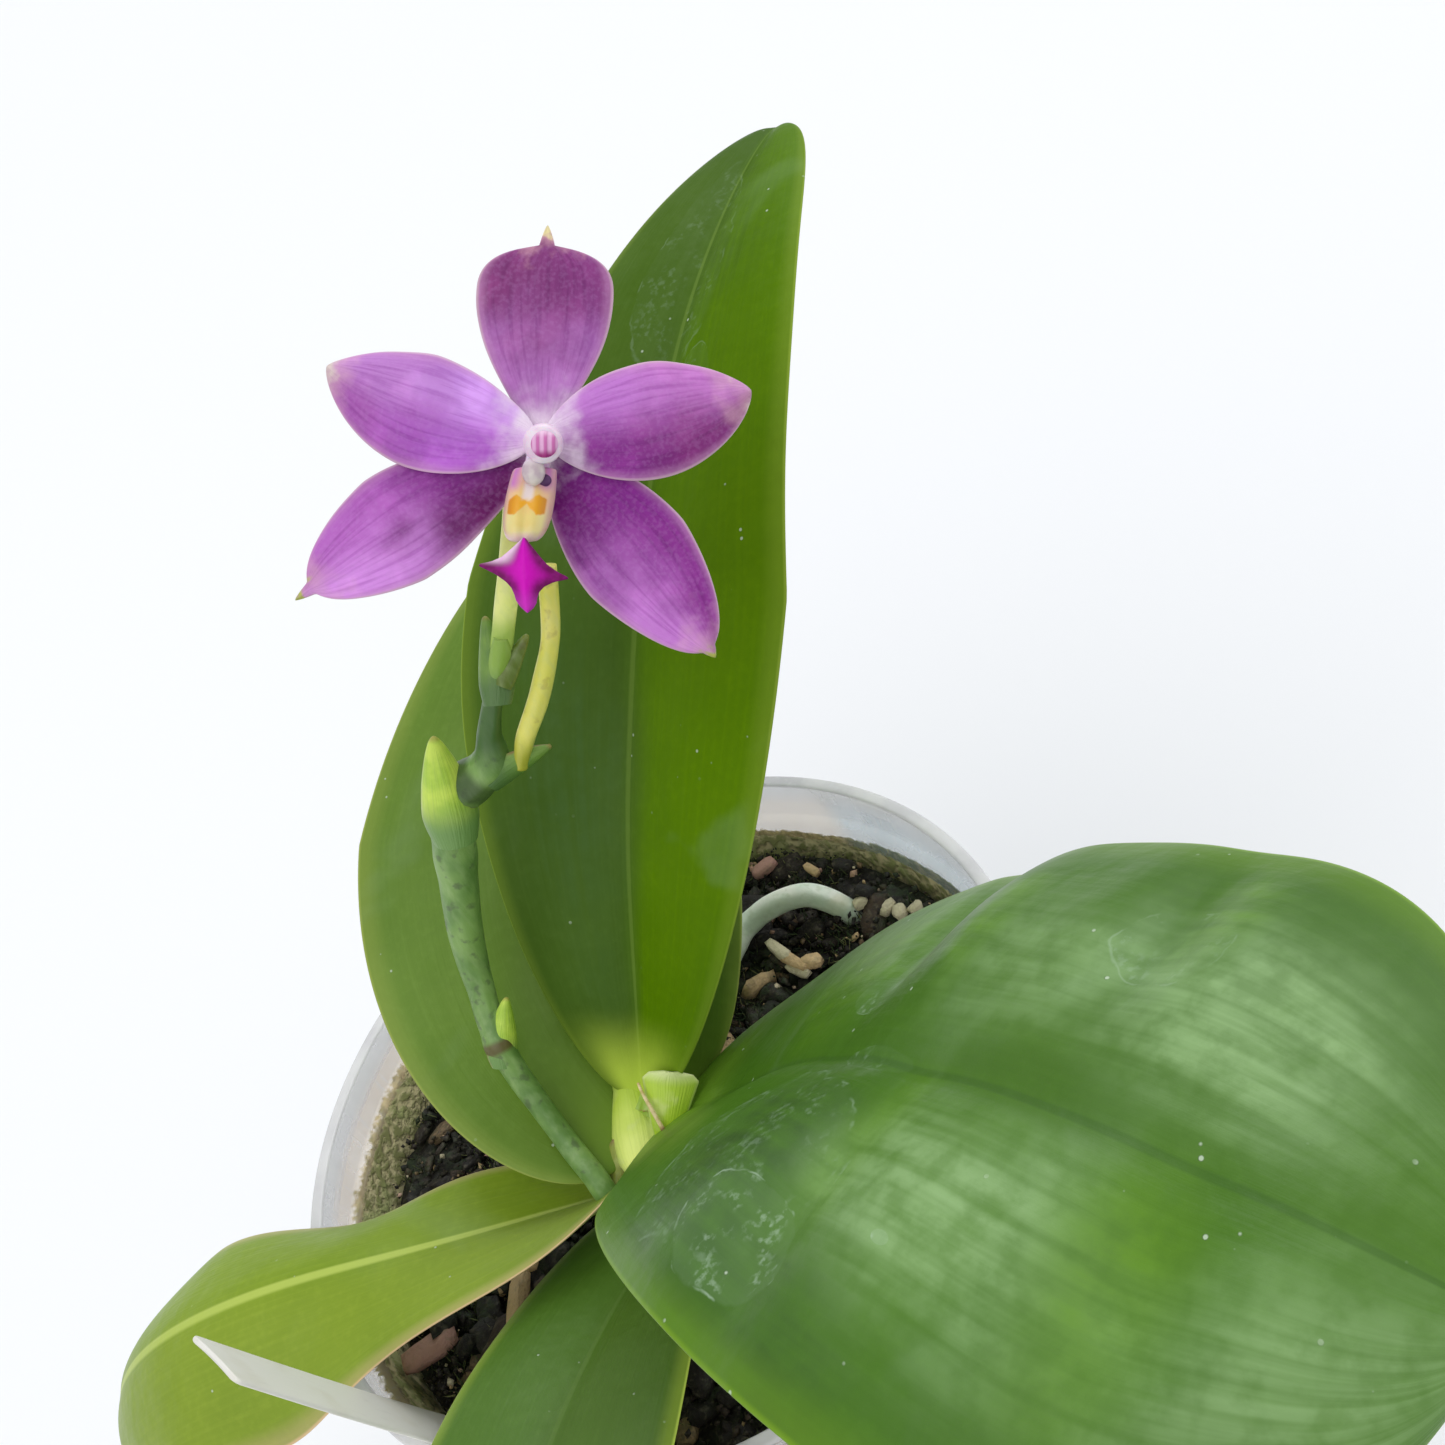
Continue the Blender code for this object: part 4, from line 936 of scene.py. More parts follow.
for seed, (name, blade) in enumerate(TEPALS.items(), 11):
    fine = dict(
        roll=(0, 0, 0), thickness=0.8, edge_share=0.6, uneven=(7.0, 0.35, seed),
        wave=0.12, waves=3.5, phase=0.1 * seed, **blade,
    )
    shape = blade_shape(fine, TEPAL_ROWS, TEPAL_AROUND, in_flower)
    make_piece("fine_" + name, [shape], PETAL_FINISHES[name], name)

# %% [markdown]
# ## The column
#
# In the flower's middle stands the column, which holds the pollen under a small cap. It is a
# white hood over a clear greyish drop, the stigma, with a dark ball of painted shadow for the
# gap beside it. The hood and the foot below it are short tubes, and the rest are round shapes
# set into them.

# %% Column, cap and stigma
def ball_shape(centre, radii, place, rows=28, around=36):
    """A round closed shape: radii x (cos b cos a, cos b sin a, sin b). Its look is the same."""
    b = np.linspace(-np.pi / 2, np.pi / 2, rows)[1:-1, None]
    a = full_turn(around)
    unit = about_axis(np.cos(b), a, np.sin(b))
    return closed_rings(place(unit * radii + centre), unit)


COLUMN_ROUTE = (
    (-0.1, 0.1, -1.0, 2.2),
    (0.4, -0.4, 3.0, 2.0),
    (0.9, -1.0, 6.5, 2.1),
    (1.1, -1.2, 8.4, 2.2),
    (1.15, -1.3, 9.2, 1.8),
)
COLUMN_FOOT = ((0.1, -0.4, 0.8, 1.5), (-0.2, -2.6, 2.2, 1.4), (-0.4, -4.2, 3.6, 1.1))
CAP_CENTRE = (1.3, -1.4, 9.1)
CAP_RADII = (1.5, 1.5, 0.9)
STIGMA_CENTRE = (-0.1, -4.1, 7.1)
STIGMA_RADII = (1.3, 1.6, 1.1)
# Place and size of the dark ball of painted shadow in the gap beside the stigma
GAP_SHADOW_CENTRE = (0.85, -4.95, 6.1)
GAP_SHADOW_RADII = (0.95, 0.75, 0.7)

white = Finish("column_skin")
blush = white.blotches(2.2, 2.0, 0.35, 0.7, 0.5)
white.body = white.mix(blush, (244, 228, 240), (214, 160, 206))
white.relief((white.noise(0.8, 2.0), 0.05))
COLUMN_SKIN = white.finish(0.4, Subsurface_Weight=0.2, Subsurface_Scale=0.002)

cap = Finish("cap_skin")
stripes = cap.maths("SINE", cap.times(cap.along, 11.0))
striped = cap.smooth(stripes, -0.6, 0.9, 0.0, 0.8)
cap.body = cap.mix(striped, (232, 176, 218), (196, 84, 162))
cap.over((240, 206, 230), cap.across, 0.35, 0.9, 0.7)
cap.over((168, 50, 130), cap.across, -0.4, -0.9)
cap.relief((stripes, 0.06), (cap.noise(0.5, 2.0), 0.04))
CAP_SKIN = cap.finish(0.45, Specular_IOR_Level=0.3)

clear = Finish("stigma_gel")
cloud = clear.blotches(1.2, 2.0, 0.3, 0.7)
clear.body = clear.mix(cloud, (196, 176, 184), (218, 208, 202))
# The whitish top of the drop is a painted highlight.
clear.over((240, 228, 236), clear.across, 0.2, 0.9)
STIGMA_GEL = clear.finish(0.3, Coat_Weight=0.3)

# The dark ball's finish is painted shadow for the gap beside the stigma.
hollow = Finish("painted_gap_shadow")
hollow.body = hollow.mix(hollow.noise(0.8, 2.0), (96, 50, 104), (60, 26, 72))
PAINTED_GAP_SHADOW = hollow.finish(0.5)

hood = tube_shape(COLUMN_ROUTE, (0.0, 1.0, 0.0), rough=(2.5, 0.05, 2), per_span=12, place=in_flower)
foot = tube_shape(COLUMN_FOOT, (1.0, 0.0, 0.0), per_span=10, around=28, place=in_flower)
make_piece("fine_column", [hood, foot], COLUMN_SKIN, "column")
cap_shape = ball_shape(CAP_CENTRE, CAP_RADII, in_flower)
make_piece("fine_anther_cap", [cap_shape], CAP_SKIN, "anther_cap")
drop = ball_shape(STIGMA_CENTRE, STIGMA_RADII, in_flower)
make_piece("stigma", [drop], STIGMA_GEL)
gap_shadow_ball = ball_shape(GAP_SHADOW_CENTRE, GAP_SHADOW_RADII, in_flower, 16, 24)
make_piece("stigma_gap_shadow", [gap_shadow_ball], PAINTED_GAP_SHADOW)

# %% [markdown]
# ## The lip
#
# The lip is the flower's landing place. Its two side lobes stand up like a small tube, lilac
# at the top, with an orange bow across it and cream below. Under it hangs the magenta middle
# lobe, shaped like a kite with a keel. The tube is a sheet bent through 100 degrees on each
# side, and its bow is drawn from the place along and across it, so it needs no image.

# %% Lip finishes
lobes = Finish("side_lobe_skin")
stir = lobes.line(lobes.noise(1.5, 2.0), 0.1, -0.05)
level = lobes.plus(lobes.along, stir)
away = lobes.size_of(lobes.across)
lobes.body = lobes.mix(lobes.smooth(level, 0.22, 0.4), (204, 128, 190), (238, 196, 150))
lobes.over((236, 220, 150), level, 0.52, 0.72)
yellow = lobes.times(lobes.smooth(away, 0.45, 0.1), lobes.smooth(level, 0.9, 0.78))
lobes.lay((232, 200, 96), lobes.times(yellow, 0.6))
lobes.over((218, 178, 168), away, 0.42, 0.62, 0.7)
lobes.over((232, 200, 206), level, 0.86, 0.97, 0.8)
bow = lobes.line(away, 0.5, 0.015)
bow = lobes.maths("MINIMUM", bow, lobes.line(away, -0.2, 0.19))
centre = lobes.line(away, 0.1, 0.51)
off_centre = lobes.size_of(lobes.minus(level, centre))
inside = lobes.smooth(lobes.minus(bow, off_centre), -0.015, 0.02)
held = lobes.smooth(away, 0.5, 0.43)
# The bow is darker towards its ends: painted shade where it turns round the sides of the tube.
orange = lobes.mix(lobes.smooth(away, 0.1, 0.48), (240, 172, 20), (214, 138, 8))
lobes.lay(orange, lobes.times(inside, held))
notch_light = lobes.times(lobes.smooth(away, 0.18, 0.05), lobes.smooth(level, 0.51, 0.42))
lobes.lay((244, 228, 236), lobes.times(notch_light, 0.8))
lobes.relief((lobes.noise(1.1, 2.0), 0.06))
SIDE_LOBE_SKIN = lobes.finish(0.36, Subsurface_Weight=0.15, Subsurface_Scale=0.002)

kite = Finish("middle_lobe_skin")
away = kite.size_of(kite.across)
kite.body = kite.mix(kite.smooth(away, 0.05, 0.8), (214, 0, 190), (112, 0, 88))
kite.over((212, 60, 200), kite.along, 0.62, 0.9, 0.6)
pale_side = kite.times(kite.smooth(kite.across, 0.25, 0.9), kite.smooth(kite.along, 0.46, 0.32))
kite.lay((238, 200, 230), pale_side)
kite.mottle((224, 40, 204), 0.6, 3.0, 0.4, 0.7, 0.12)
kite.relief((kite.noise(0.5, 2.0), 0.05))
MIDDLE_LOBE_SKIN = kite.finish(0.5, Specular_IOR_Level=0.2)

# %% [markdown]
# The side lobes are worked out ring by ring. The middle lobe is a blade whose half widths
# are read from a table, because the outline of a kite has corners.

# %% Lip
LIP_TOP = -3.4
LIP_BOTTOM = -11.4
LIP_HALF_WIDTH = 2.6
LIP_DEPTH = 2.8
LIP_BACK = 3.4
LIP_BEND = math.radians(100.0)
LIP_THICKNESS = 0.7


def side_lobes_shape(rows=48, around=96):
    """A sheet bent round the lip's axis, thickened: x = width sin(a), z = depth cos(a).

    The width swells towards the middle and is drawn in at the foot, and a notch runs down
    the front where the two lobes meet.
    """
    along = np.linspace(0.0, 1.0, rows)[:, None]
    u = full_turn(around)
    angle = LIP_BEND * np.cos(u)
    half = LIP_THICKNESS / 2 * np.sin(u) * (1 - np.abs(np.cos(u)) ** 10) ** 0.25
    half = half * np.sqrt(1 - np.abs(2 * along - 1) ** 16 * 0.9)
    swell = (0.82 + 0.18 * np.sin(np.pi * (0.12 + 0.76 * along))) * (1 - 0.3 * along**9)
    notch = 0.45 * np.exp(-((angle / 0.25) ** 2))
    x = (LIP_HALF_WIDTH * swell + half) * np.sin(angle) - 0.3 - 1.1 * along
    y = LIP_TOP + (LIP_BOTTOM - LIP_TOP) * along - 0.5 * np.cos(angle) * along**3
    z = LIP_BACK + (LIP_DEPTH * swell + half) * np.cos(angle) + 1.6 * along - notch
    rings = together(x, y, z)
    look = together(along, np.cos(u), np.where(np.sin(u) > 0, 1.0, 0.0))
    return closed_rings(in_flower(rings), look)


MIDDLE_LOBE = dict(
    root=(-1.0, -11.6, 8.2), length=8.2, heading=(-90, -88, -87), pitch=(4, -6, -14), roll=(0, 0, 0),
    widths=(
        (0.0, 0.2), (0.08, 0.8), (0.2, 1.7), (0.3, 2.5), (0.38, 3.6), (0.44, 4.9), (0.47, 4.8),
        (0.54, 3.2), (0.62, 2.1), (0.7, 1.5), (0.78, 1.25), (0.86, 1.1), (0.93, 0.75), (1.0, 0.1),
    ),
    fold=(-0.7, -0.5, -0.3), droop=(0.0, -0.2, 0.0), thickness=1.0, edge_share=0.35,
    uneven=(3.0, 0.2, 6), skew=-0.18, left=0.95, right=1.08,
)
make_piece("fine_side_lobes", [side_lobes_shape()], SIDE_LOBE_SKIN, "lip_side_lobes")
kite_shape = blade_shape(MIDDLE_LOBE, 80, 72, in_flower)
make_piece("fine_middle_lobe", [kite_shape], MIDDLE_LOBE_SKIN, "lip_middle_lobe")

# %% [markdown]
# ## The finish of the stalks
#
# The spike is a dull green, mottled with dark greyish marks, and browner at two of its
# joints. The two flower stalks are smooth: the young one pale green, and the one whose
# flower has dropped yellow. One recipe serves all three and the oldest, dullest bract. The
# other bracts have a recipe of their own, with lines along them and a dry edge.

# %% Stalk finishes
def stalk_finish(name, light, dark, mark, marks, rings=()):
    """Light and dark are the body's two tones; rings are (share along, reach, colour) bands."""
    stalk = Finish(name)
    stalk.two_tone(light, dark, 7.0, 3.0)
    lines = stalk.noise(1.0, 3.0, stretch=(1.0, 1.0, 0.18))
    stalk.over((186, 208, 150), lines, 0.4, 0.72, 0.18)
    stalk.mottle(mark, 2.0, 4.0, 0.56, 0.68, marks)
    for at, reach, colour in rings:
        off = stalk.size_of(stalk.minus(stalk.upper, at))
        stalk.over(colour, off, reach, reach * 0.3, 0.8)
    stalk.relief((lines, 0.08), (stalk.noise(0.7, 2.0), 0.04))
    return stalk.finish(0.42)


GREEN_SPIKE = stalk_finish(
    "spike_skin", (134, 170, 92), (104, 142, 72), (74, 78, 66), 0.5,
    (
        (0.356, 0.012, (96, 70, 40)), (0.75, 0.025, (92, 84, 70)),
        (0.79, 0.03, (50, 70, 36)), (0.88, 0.07, (48, 84, 38)),
        (0.99, 0.06, (150, 184, 72)),
    ),
)
PALE_STALK = stalk_finish(
    "flower_stalk_skin", (250, 255, 160), (234, 246, 130), (170, 204, 94), 0.2,
    ((0.0, 0.2, (150, 186, 76)),),
)
YELLOW_STALK = stalk_finish(
    "spent_stalk_skin", (240, 232, 120), (228, 226, 100), (150, 128, 70), 0.3,
    ((0.0, 0.22, (170, 172, 40)),),
)
OLD_BRACT_SKIN = stalk_finish(
    "old_bract_skin", (126, 136, 56), (96, 116, 40), (84, 70, 36), 0.4
)


def bract_finish(name, light, dark, foot, edge):
    """Light and dark tones, greener at the foot, with a paler edge that is dry on one side."""
    skin = Finish(name)
    skin.two_tone(light, dark, 4.0, 3.0)
    skin.over(foot, skin.along, 0.5, 0.12)
    lines = skin.streaks(16.0, 2.0)
    skin.over(foot, lines, 0.45, 0.7, 0.2)
    away = skin.size_of(skin.across)
    skin.over(edge, away, 0.75, 0.95, 0.5)
    dry = skin.blotches(3.0, 2.0, 0.4, 0.6, 0.7)
    dry = skin.times(skin.smooth(skin.across, 0.78, 0.95), dry)
    skin.lay((130, 80, 54), dry)
    skin.over((170, 140, 80), skin.along, 0.93, 1.0, 0.6)
    skin.relief((lines, 0.12), (skin.noise(0.7, 2.0), 0.04))
    return skin.finish(0.42)


BRACT_SKIN = bract_finish(
    "bract_skin", (210, 234, 94), (176, 212, 70), (116, 154, 84), (216, 224, 160)
)
DULL_BRACT_SKIN = bract_finish(
    "dull_bract_skin", (122, 158, 64), (98, 136, 58), (84, 118, 60), (142, 172, 96)
)

# %% [markdown]
# ## The spike and its stalks
#
# The spike zigzags from joint to joint. At each joint a small scale leaf, a bract, wraps the
# stalk and ends in a point. A bract is a blade with a strong curl, so that it holds the
# stalk like a gutter.

# %% Spike
SPIKE_ROUTE = (
    (-4.5, -12.5, -4.0, 1.7),
    (-10.6, -16.4, 1.9, 1.75),
    (-11.4, -13.8, 6.9, 1.75),
    (-12.2, -8.6, 12.6, 1.65),
    (-12.4, -1.2, 24.4, 1.9),
    (-10.0, 4.4, 32.2, 2.0),
    (-6.9, 6.7, 40.3, 2.5),
    (-1.1, 8.5, 51.8, 2.8),
    (2.6, 8.6, 59.0, 3.0),
    (10.3, 4.4, 64.0, 2.6),
    (13.0, 4.5, 68.2, 1.6),
    (16.0, 4.5, 72.4, 1.3),
    (20.0, 4.1, 77.6, 1.35),
    (21.4, 4.0, 79.8, 0.9),
)
SPIKE_JOINTS = ((0.356, 1.4, 0.35), (0.641, 2.5, 0.25), (0.7735, 2.2, 0.35))
# Each bract: a point of the spike, how much nearer its root and tip lie, their pixels, its
# half width, the way its hollow looks (to the picture's right, up and outward), and its curl
BRACTS = {
    "bracts": (BRACT_SKIN, (
        ((-12.3, -0.8, 24.4), (1.3, 2.0), (509, 1068), (506, 997), 3.6, (-0.6, 0.0, -0.8), 95.0),
        ((2.6, 8.6, 59.0), (3.0, 9.6), (457, 848), (433, 736), 5.4, (-0.1, -0.1, -1.0), 85.0),
    )),
    "dull_bracts": (DULL_BRACT_SKIN, (
        ((10.5, 4.3, 64.0), (0.0, 2.0), (493, 788), (551, 745), 3.4, (-0.5, 0.7, -0.5), 80.0),
        ((18.0, 4.4, 74.8), (0.9, 2.0), (494, 706), (485, 616), 3.6, (0.25, 0.0, -1.0), 100.0),
    )),
    "old_bract": (OLD_BRACT_SKIN, (
        ((18.4, 4.2, 76.0), (0.4, 1.0), (505, 688), (527, 634), 1.9, (-0.6, 0.0, -0.8), 90.0),
    )),
}


def clasping_shape(level, nearer, root_pixel, tip_pixel, width, hollow, curl, thickness=0.8):
    """A blade bent like a gutter, between the points that two pixels look at.

    They are as far away as the point called level, or nearer by some mm. The width is one
    half width, for a bract with a point, or a table of (share along, half width).
    """
    root = level_with(*root_pixel, level, nearer[0])
    tip = level_with(*tip_pixel, level, nearer[1])
    reach = tip - root
    length = float(np.linalg.norm(reach))
    forward = reach / length
    heading = math.atan2(reach[1], reach[0])
    side = np.array([math.sin(heading), -math.cos(heading), 0.0])
    looks = hollow[0] * right + hollow[1] * up + hollow[2] * out
    roll = math.degrees(math.atan2(-looks @ side, looks @ np.cross(side, forward)))
    blade = dict(
        root=root, length=length, heading=(math.degrees(heading),) * 3,
        pitch=(math.degrees(math.asin(forward[2])),) * 3, roll=(roll,) * 3, root_share=0.75,
        widest=0.25, tip_power=1.3, rise_power=1.0, blunt=0.75, fold=(0.0, 0.0, 0.0),
        droop=(0.0, 0.0, 0.0), thickness=thickness, edge_share=0.45, curl=curl,
        uneven=(5.0, 0.15, 4),
    )
    blade["half_width" if isinstance(width, float) else "widths"] = width
    return blade_shape(blade, 56, 72)


spike = tube_shape(SPIKE_ROUTE, (0.0, 1.0, 0.0), SPIKE_JOINTS, (5.0, 0.12, 3), per_span=18, around=40)
make_piece("fine_spike", [spike], GREEN_SPIKE, "flower_spike")
for name, (skin, rows) in BRACTS.items():
    make_piece(name, [clasping_shape(*numbers) for numbers in rows], skin)

FLOWER_STALK = (
    (20.6, 4.7, 78.0, 1.4),
    (25.3, 5.6, 84.0, 1.45),
    (29.3, 7.9, 88.3, 1.5),
    (33.4, 9.8, 93.2, 1.5),
    (37.0, 7.4, 97.2, 1.6),
    (38.3, 4.0, 99.0, 1.6),
)
SPENT_STALK = (
    (13.8, 2.2, 62.6, 0.9),
    (16.6, 1.9, 66.4, 1.25),
    (21.0, 2.5, 70.2, 1.35),
    (26.2, 3.7, 75.8, 1.2),
    (29.5, 5.7, 80.9, 1.2),
    (30.9, 6.6, 83.4, 1.0),
)
pedicel = tube_shape(FLOWER_STALK, (1.0, -1.0, 0.0), rough=(5.0, 0.06, 5), around=32)
make_piece("fine_flower_stalk", [pedicel], PALE_STALK, "flower_stalk")
spent = tube_shape(SPENT_STALK, (1.0, -1.0, 0.0), ((1.0, 1.2, 0.25),), (4.0, 0.08, 6), around=32)
make_piece("fine_spent_stalk", [spent], YELLOW_STALK, "spent_stalk")

# %% [markdown]
# ## The short stem
#
# The stem is hidden in the bases of old and new leaves. These wrap it as sheaths, pale
# yellow-green, each with a thin dry edge that runs round it in a slant. The stem is a tube
# whose radius steps out where one sheath lies over another.

# %% Stem
STEM_ROUTE = (
    (-4.0, -10.5, -48.0, 5.0),
    (-4.0, -10.5, -26.0, 6.5),
    (-3.0, -10.5, -10.0, 6.6),
    (-1.6, -9.6, 0.0, 5.2),
    (0.6, -7.2, 8.0, 3.4),
)
SHEATHS = 4


def sheathed_stem_shape(rows=150, around=96):
    """A tube through the stem's route. Its radius steps out along a spiral, the sheaths' edges.

    The step is where turns = angle / 360 degrees + SHEATHS x share along passes a whole number.
    """
    path = smooth_path(STEM_ROUTE, 40)
    share = np.linspace(0.0, 1.0, rows)
    keep = np.linspace(0.0, 1.0, len(path))
    centre = np.stack([np.interp(share, keep, path[:, axis]) for axis in range(3)], -1)
    radius = np.interp(share, keep, path[:, 3])[:, None]
    angle = full_turn(around)
    turns = (angle / (2 * np.pi) + SHEATHS * share[:, None] + 0.35) % 1.0
    wide = radius * (1.0 - 0.1 * turns) + 0.25 * unevenness(radius * angle, share[:, None] * 60, 9.0, 3)
    rings = centre[:, None] + about_axis(wide, angle, 0.0)
    look = together(turns, np.cos(angle), share[:, None])
    return closed_rings(above_rim(rings), look)


sheath = Finish("sheath_skin")
sheath.two_tone((176, 206, 84), (150, 184, 52), 6.0, 2.0)
sheath.over((128, 118, 64), sheath.upper, 0.85, 0.55)
fibres = sheath.noise(1.2, 3.0, stretch=(1.0, 1.0, 0.12))
sheath.over((206, 222, 140), fibres, 0.4, 0.7, 0.35)
edge = sheath.smooth(sheath.along, 0.05, 0.015)
sheath.lay((186, 140, 96), sheath.times(edge, 0.8))
sheath.relief((fibres, 0.08), (sheath.noise(1.0, 2.0), 0.04))
SHEATH_SKIN = sheath.finish(0.4)
make_piece("fine_stem", [sheathed_stem_shape()], SHEATH_SKIN, "stem")

# %% [markdown]
# ## The bases of the leaves
#
# Where a leaf meets the stem it narrows, then widens into a bright sheath that clasps the
# stem. In front lie the sheath of the tall leaf, the collar of the near one, and the dull
# wedge of an old leaf's base between their feet. They are blades bent round the stem, so that
# they meet it from all sides. A dry tan edge, a thin tube, runs where the first two meet.

# %% Crown
CROWN = (0.2, -8.0, 6.0)
AWAY_FROM_EYE = (0.0, 0.0, -1.0)


def crown_finish(name, low, high, edge, edge_from):
    """low and high are the colours at the foot and the top, and the edge is at the top."""
    crown = Finish(name)
    stir = crown.noise(4.0, 3.0)
    level = crown.plus(crown.along, crown.line(stir, 0.4, -0.2))
    crown.body = crown.mix(crown.smooth(level, 0.1, 0.8), low, high)
    lines = crown.streaks(14.0, 1.2)
    crown.over((138, 170, 40), lines, 0.42, 0.72, 0.15)
    crown.over((226, 236, 160), stir, 0.55, 0.72, 0.5)
    away = crown.size_of(crown.across)
    crown.over((222, 226, 170), away, 0.8, 0.97, 0.5)
    crown.over(edge, crown.along, edge_from, 1.0, 0.9)
    crown.relief((lines, 0.12), (stir, 0.2))
    return crown.finish(0.34, Specular_IOR_Level=0.4)


SHEATH_WIDTHS = ((0.0, 2.6), (0.2, 4.9), (0.42, 5.4), (0.62, 4.2), (0.78, 3.0), (0.9, 3.0), (1.0, 3.4))
COLLAR_WIDTHS = ((0.0, 1.0), (0.3, 2.5), (0.7, 3.9), (0.86, 4.4), (0.95, 3.4), (1.0, 1.2))
WEDGE_WIDTHS = ((0.0, 3.0), (0.5, 2.6), (0.85, 1.6), (1.0, 0.3))
LIGHT_SHEATH = crown_finish("light_sheath", (240, 252, 140), (196, 222, 76), (168, 194, 60), 0.5)
LEAF_COLLAR = crown_finish("leaf_collar", (176, 212, 40), (200, 230, 80), (234, 244, 176), 0.8)
OLD_WEDGE = crown_finish("old_wedge", (140, 146, 56), (156, 166, 70), (160, 130, 90), 0.8)
# Each: its finish, how much nearer its root and tip lie, their pixels, its half widths, its
# curl and its thickness
CROWN_PIECES = {
    "tall_leaf_sheath": (LIGHT_SHEATH, (7.0, -2.2), (646, 1178), (622, 1060), SHEATH_WIDTHS, 75.0, 1.0),
    "near_leaf_collar": (LEAF_COLLAR, (6.4, 8.2), (665, 1150), (671, 1072), COLLAR_WIDTHS, 40.0, 0.6),
    "old_leaf_wedge": (OLD_WEDGE, (3.4, 1.6), (622, 1186), (616, 1138), WEDGE_WIDTHS, 60.0, 1.0),
}
for name, (skin, nearer, root, tip, widths, curl, thickness) in CROWN_PIECES.items():
    shape = clasping_shape(CROWN, nearer, root, tip, widths, AWAY_FROM_EYE, curl, thickness)
    make_piece(name, [shape], skin)

DRY_EDGE_PIXELS = (
    (638, 1083, 6.8, 0.2), (643, 1094, 7.4, 0.25), (652, 1110, 8.0, 0.3), (660, 1124, 8.0, 0.3),
    (665, 1133, 8.0, 0.4),
)
dry = Finish("dry_edge")
grain = dry.noise(1.2, 3.0)
dry.body = dry.mix(dry.smooth(grain, 0.35, 0.65), (250, 226, 180), (214, 190, 120))
dry.over((112, 70, 40), dry.upper, 0.82, 0.95)
dry.relief((grain, 0.1))
DRY_EDGE = dry.finish(0.6)
dry_route = [(*level_with(x, y, CROWN, nearer), radius) for x, y, nearer, radius in DRY_EDGE_PIXELS]
dry_shape = tube_shape(dry_route, (0.0, 1.0, 0.0), per_span=12, around=16)
make_piece("dry_edge", [dry_shape], DRY_EDGE)

# %% [markdown]
# ## Aerial roots
#
# The roots are covered in a dead, spongy coat that is silver when dry and green when wet.
# They are uneven tubes with a matt finish, and both ends go down into the bark.

# %% Roots
ROOTS = {
    "root_arched": (
        (-1.0, -6.0, -15.0, 1.9), (9.0, 10.0, -10.5, 2.0), (22.0, 25.5, -10.0, 2.0),
        (33.2, 24.6, -8.0, 2.0), (39.0, 21.0, -12.5, 2.0), (40.5, 20.0, -23.0, 1.6),
    ),
    "root_back": (
        (-6.0, -7.0, -14.5, 1.8), (-18.0, 14.0, -9.0, 1.9), (-26.0, 26.0, -10.0, 1.9),
        (-30.0, 31.0, -22.0, 1.5),
    ),
    "root_right": (
        (2.0, -11.0, -14.0, 1.8), (18.0, -14.0, -9.0, 1.9), (29.0, -15.0, -11.0, 1.9),
        (33.0, -14.0, -22.0, 1.5),
    ),
}
silver = Finish("silver_root_coat")
silver.two_tone((250, 252, 240), (222, 236, 218), 5.0, 3.0)
silver.mottle((176, 190, 150), 1.4, 4.0, 0.5, 0.7, 0.35)
silver.mottle((226, 222, 186), 9.0, 2.0, 0.56, 0.66, 0.4)
silver.over((150, 176, 134), silver.across, 0.1, 0.9, 0.6)
silver.relief((silver.noise(1.2, 3.0), 0.16), (silver.noise(0.35, 2.0), 0.05))
SILVER_COAT = silver.finish(0.75)

for seed, (name, route) in enumerate(ROOTS.items(), 21):
    shape = tube_shape(route, (0.0, 0.0, 1.0), rough=(5.0, 0.16, seed), per_span=20, around=32)
    make_piece("fine_" + name, [shape], SILVER_COAT, name)

# %% [markdown]
# ## The bark mix
#
# The pot is filled with chips of bark, dark and damp, some tan or pinkish where they are
# freshly broken. A lumpy bed fills the pot, and hundreds of chips lie on its top and against
# the clear wall. Placing each by hand would take hours and copying one chip would show, so
# all chips are cut from one small block whose corners are moved at random, in one go. Only
# the few that stand out in the picture have a place each.

# %% Scattering small things
def scattered(unit_points, unit_faces, frames, centres, looks, jitter, chance):
    """Many copies of a small closed shape.

    Each copy's points are its frame (three scaled directions) times the unit points, moved
    at random by up to the jitter, plus its centre.
    """
    count, size = len(centres), len(unit_points)
    moved = unit_points[None] * (1.0 + chance.uniform(-jitter, jitter, (count, size, 3)))
    points = np.einsum("npk,nkx->npx", moved, frames) + centres[:, None]
    starts = (np.arange(count) * size)[:, None]
    faces = [row for face in unit_faces for row in (starts + np.array(face)).tolist()]
    return above_rim(points.reshape(-1, 3)), faces, np.repeat(looks, size, axis=0)


def directions(spin, lean, roll):
    """Three unit directions for each copy: spun round the upright, then leant and rolled."""
    along = towards(spin, lean)
    flat = together(-np.sin(spin), np.cos(spin), 0.0)
    normal = np.cross(along, flat)
    cos_roll, sin_roll = np.cos(roll)[:, None], np.sin(roll)[:, None]
    return along, flat * cos_roll + normal * sin_roll, normal * cos_roll - flat * sin_roll


def frames_of(axes, sizes):
    """Each copy's three directions, as long as the copy reaches that way."""
    return np.stack([axis * np.reshape(size, (-1, 1)) for axis, size in zip(axes, sizes)], 1)


def block_shape():
    """A block with worn corners: a ball whose sines and cosines are pushed towards 1."""
    b = np.linspace(-np.pi / 2, np.pi / 2, 6)[1:-1, None]
    a = full_turn(8) + 0.2
    cos_a, sin_a, cos_b, sin_b = (
        np.sign(value) * np.abs(value) ** 0.55 for value in (np.cos(a), np.sin(a), np.cos(b), np.sin(b))
    )
    rings = together(cos_b * cos_a, cos_b * sin_a, sin_b)
    return closed_rings(rings, np.zeros_like(rings))


BLOCK_POINTS, BLOCK_FACES, _ = block_shape()
print("one chip has", len(BLOCK_FACES), "faces")

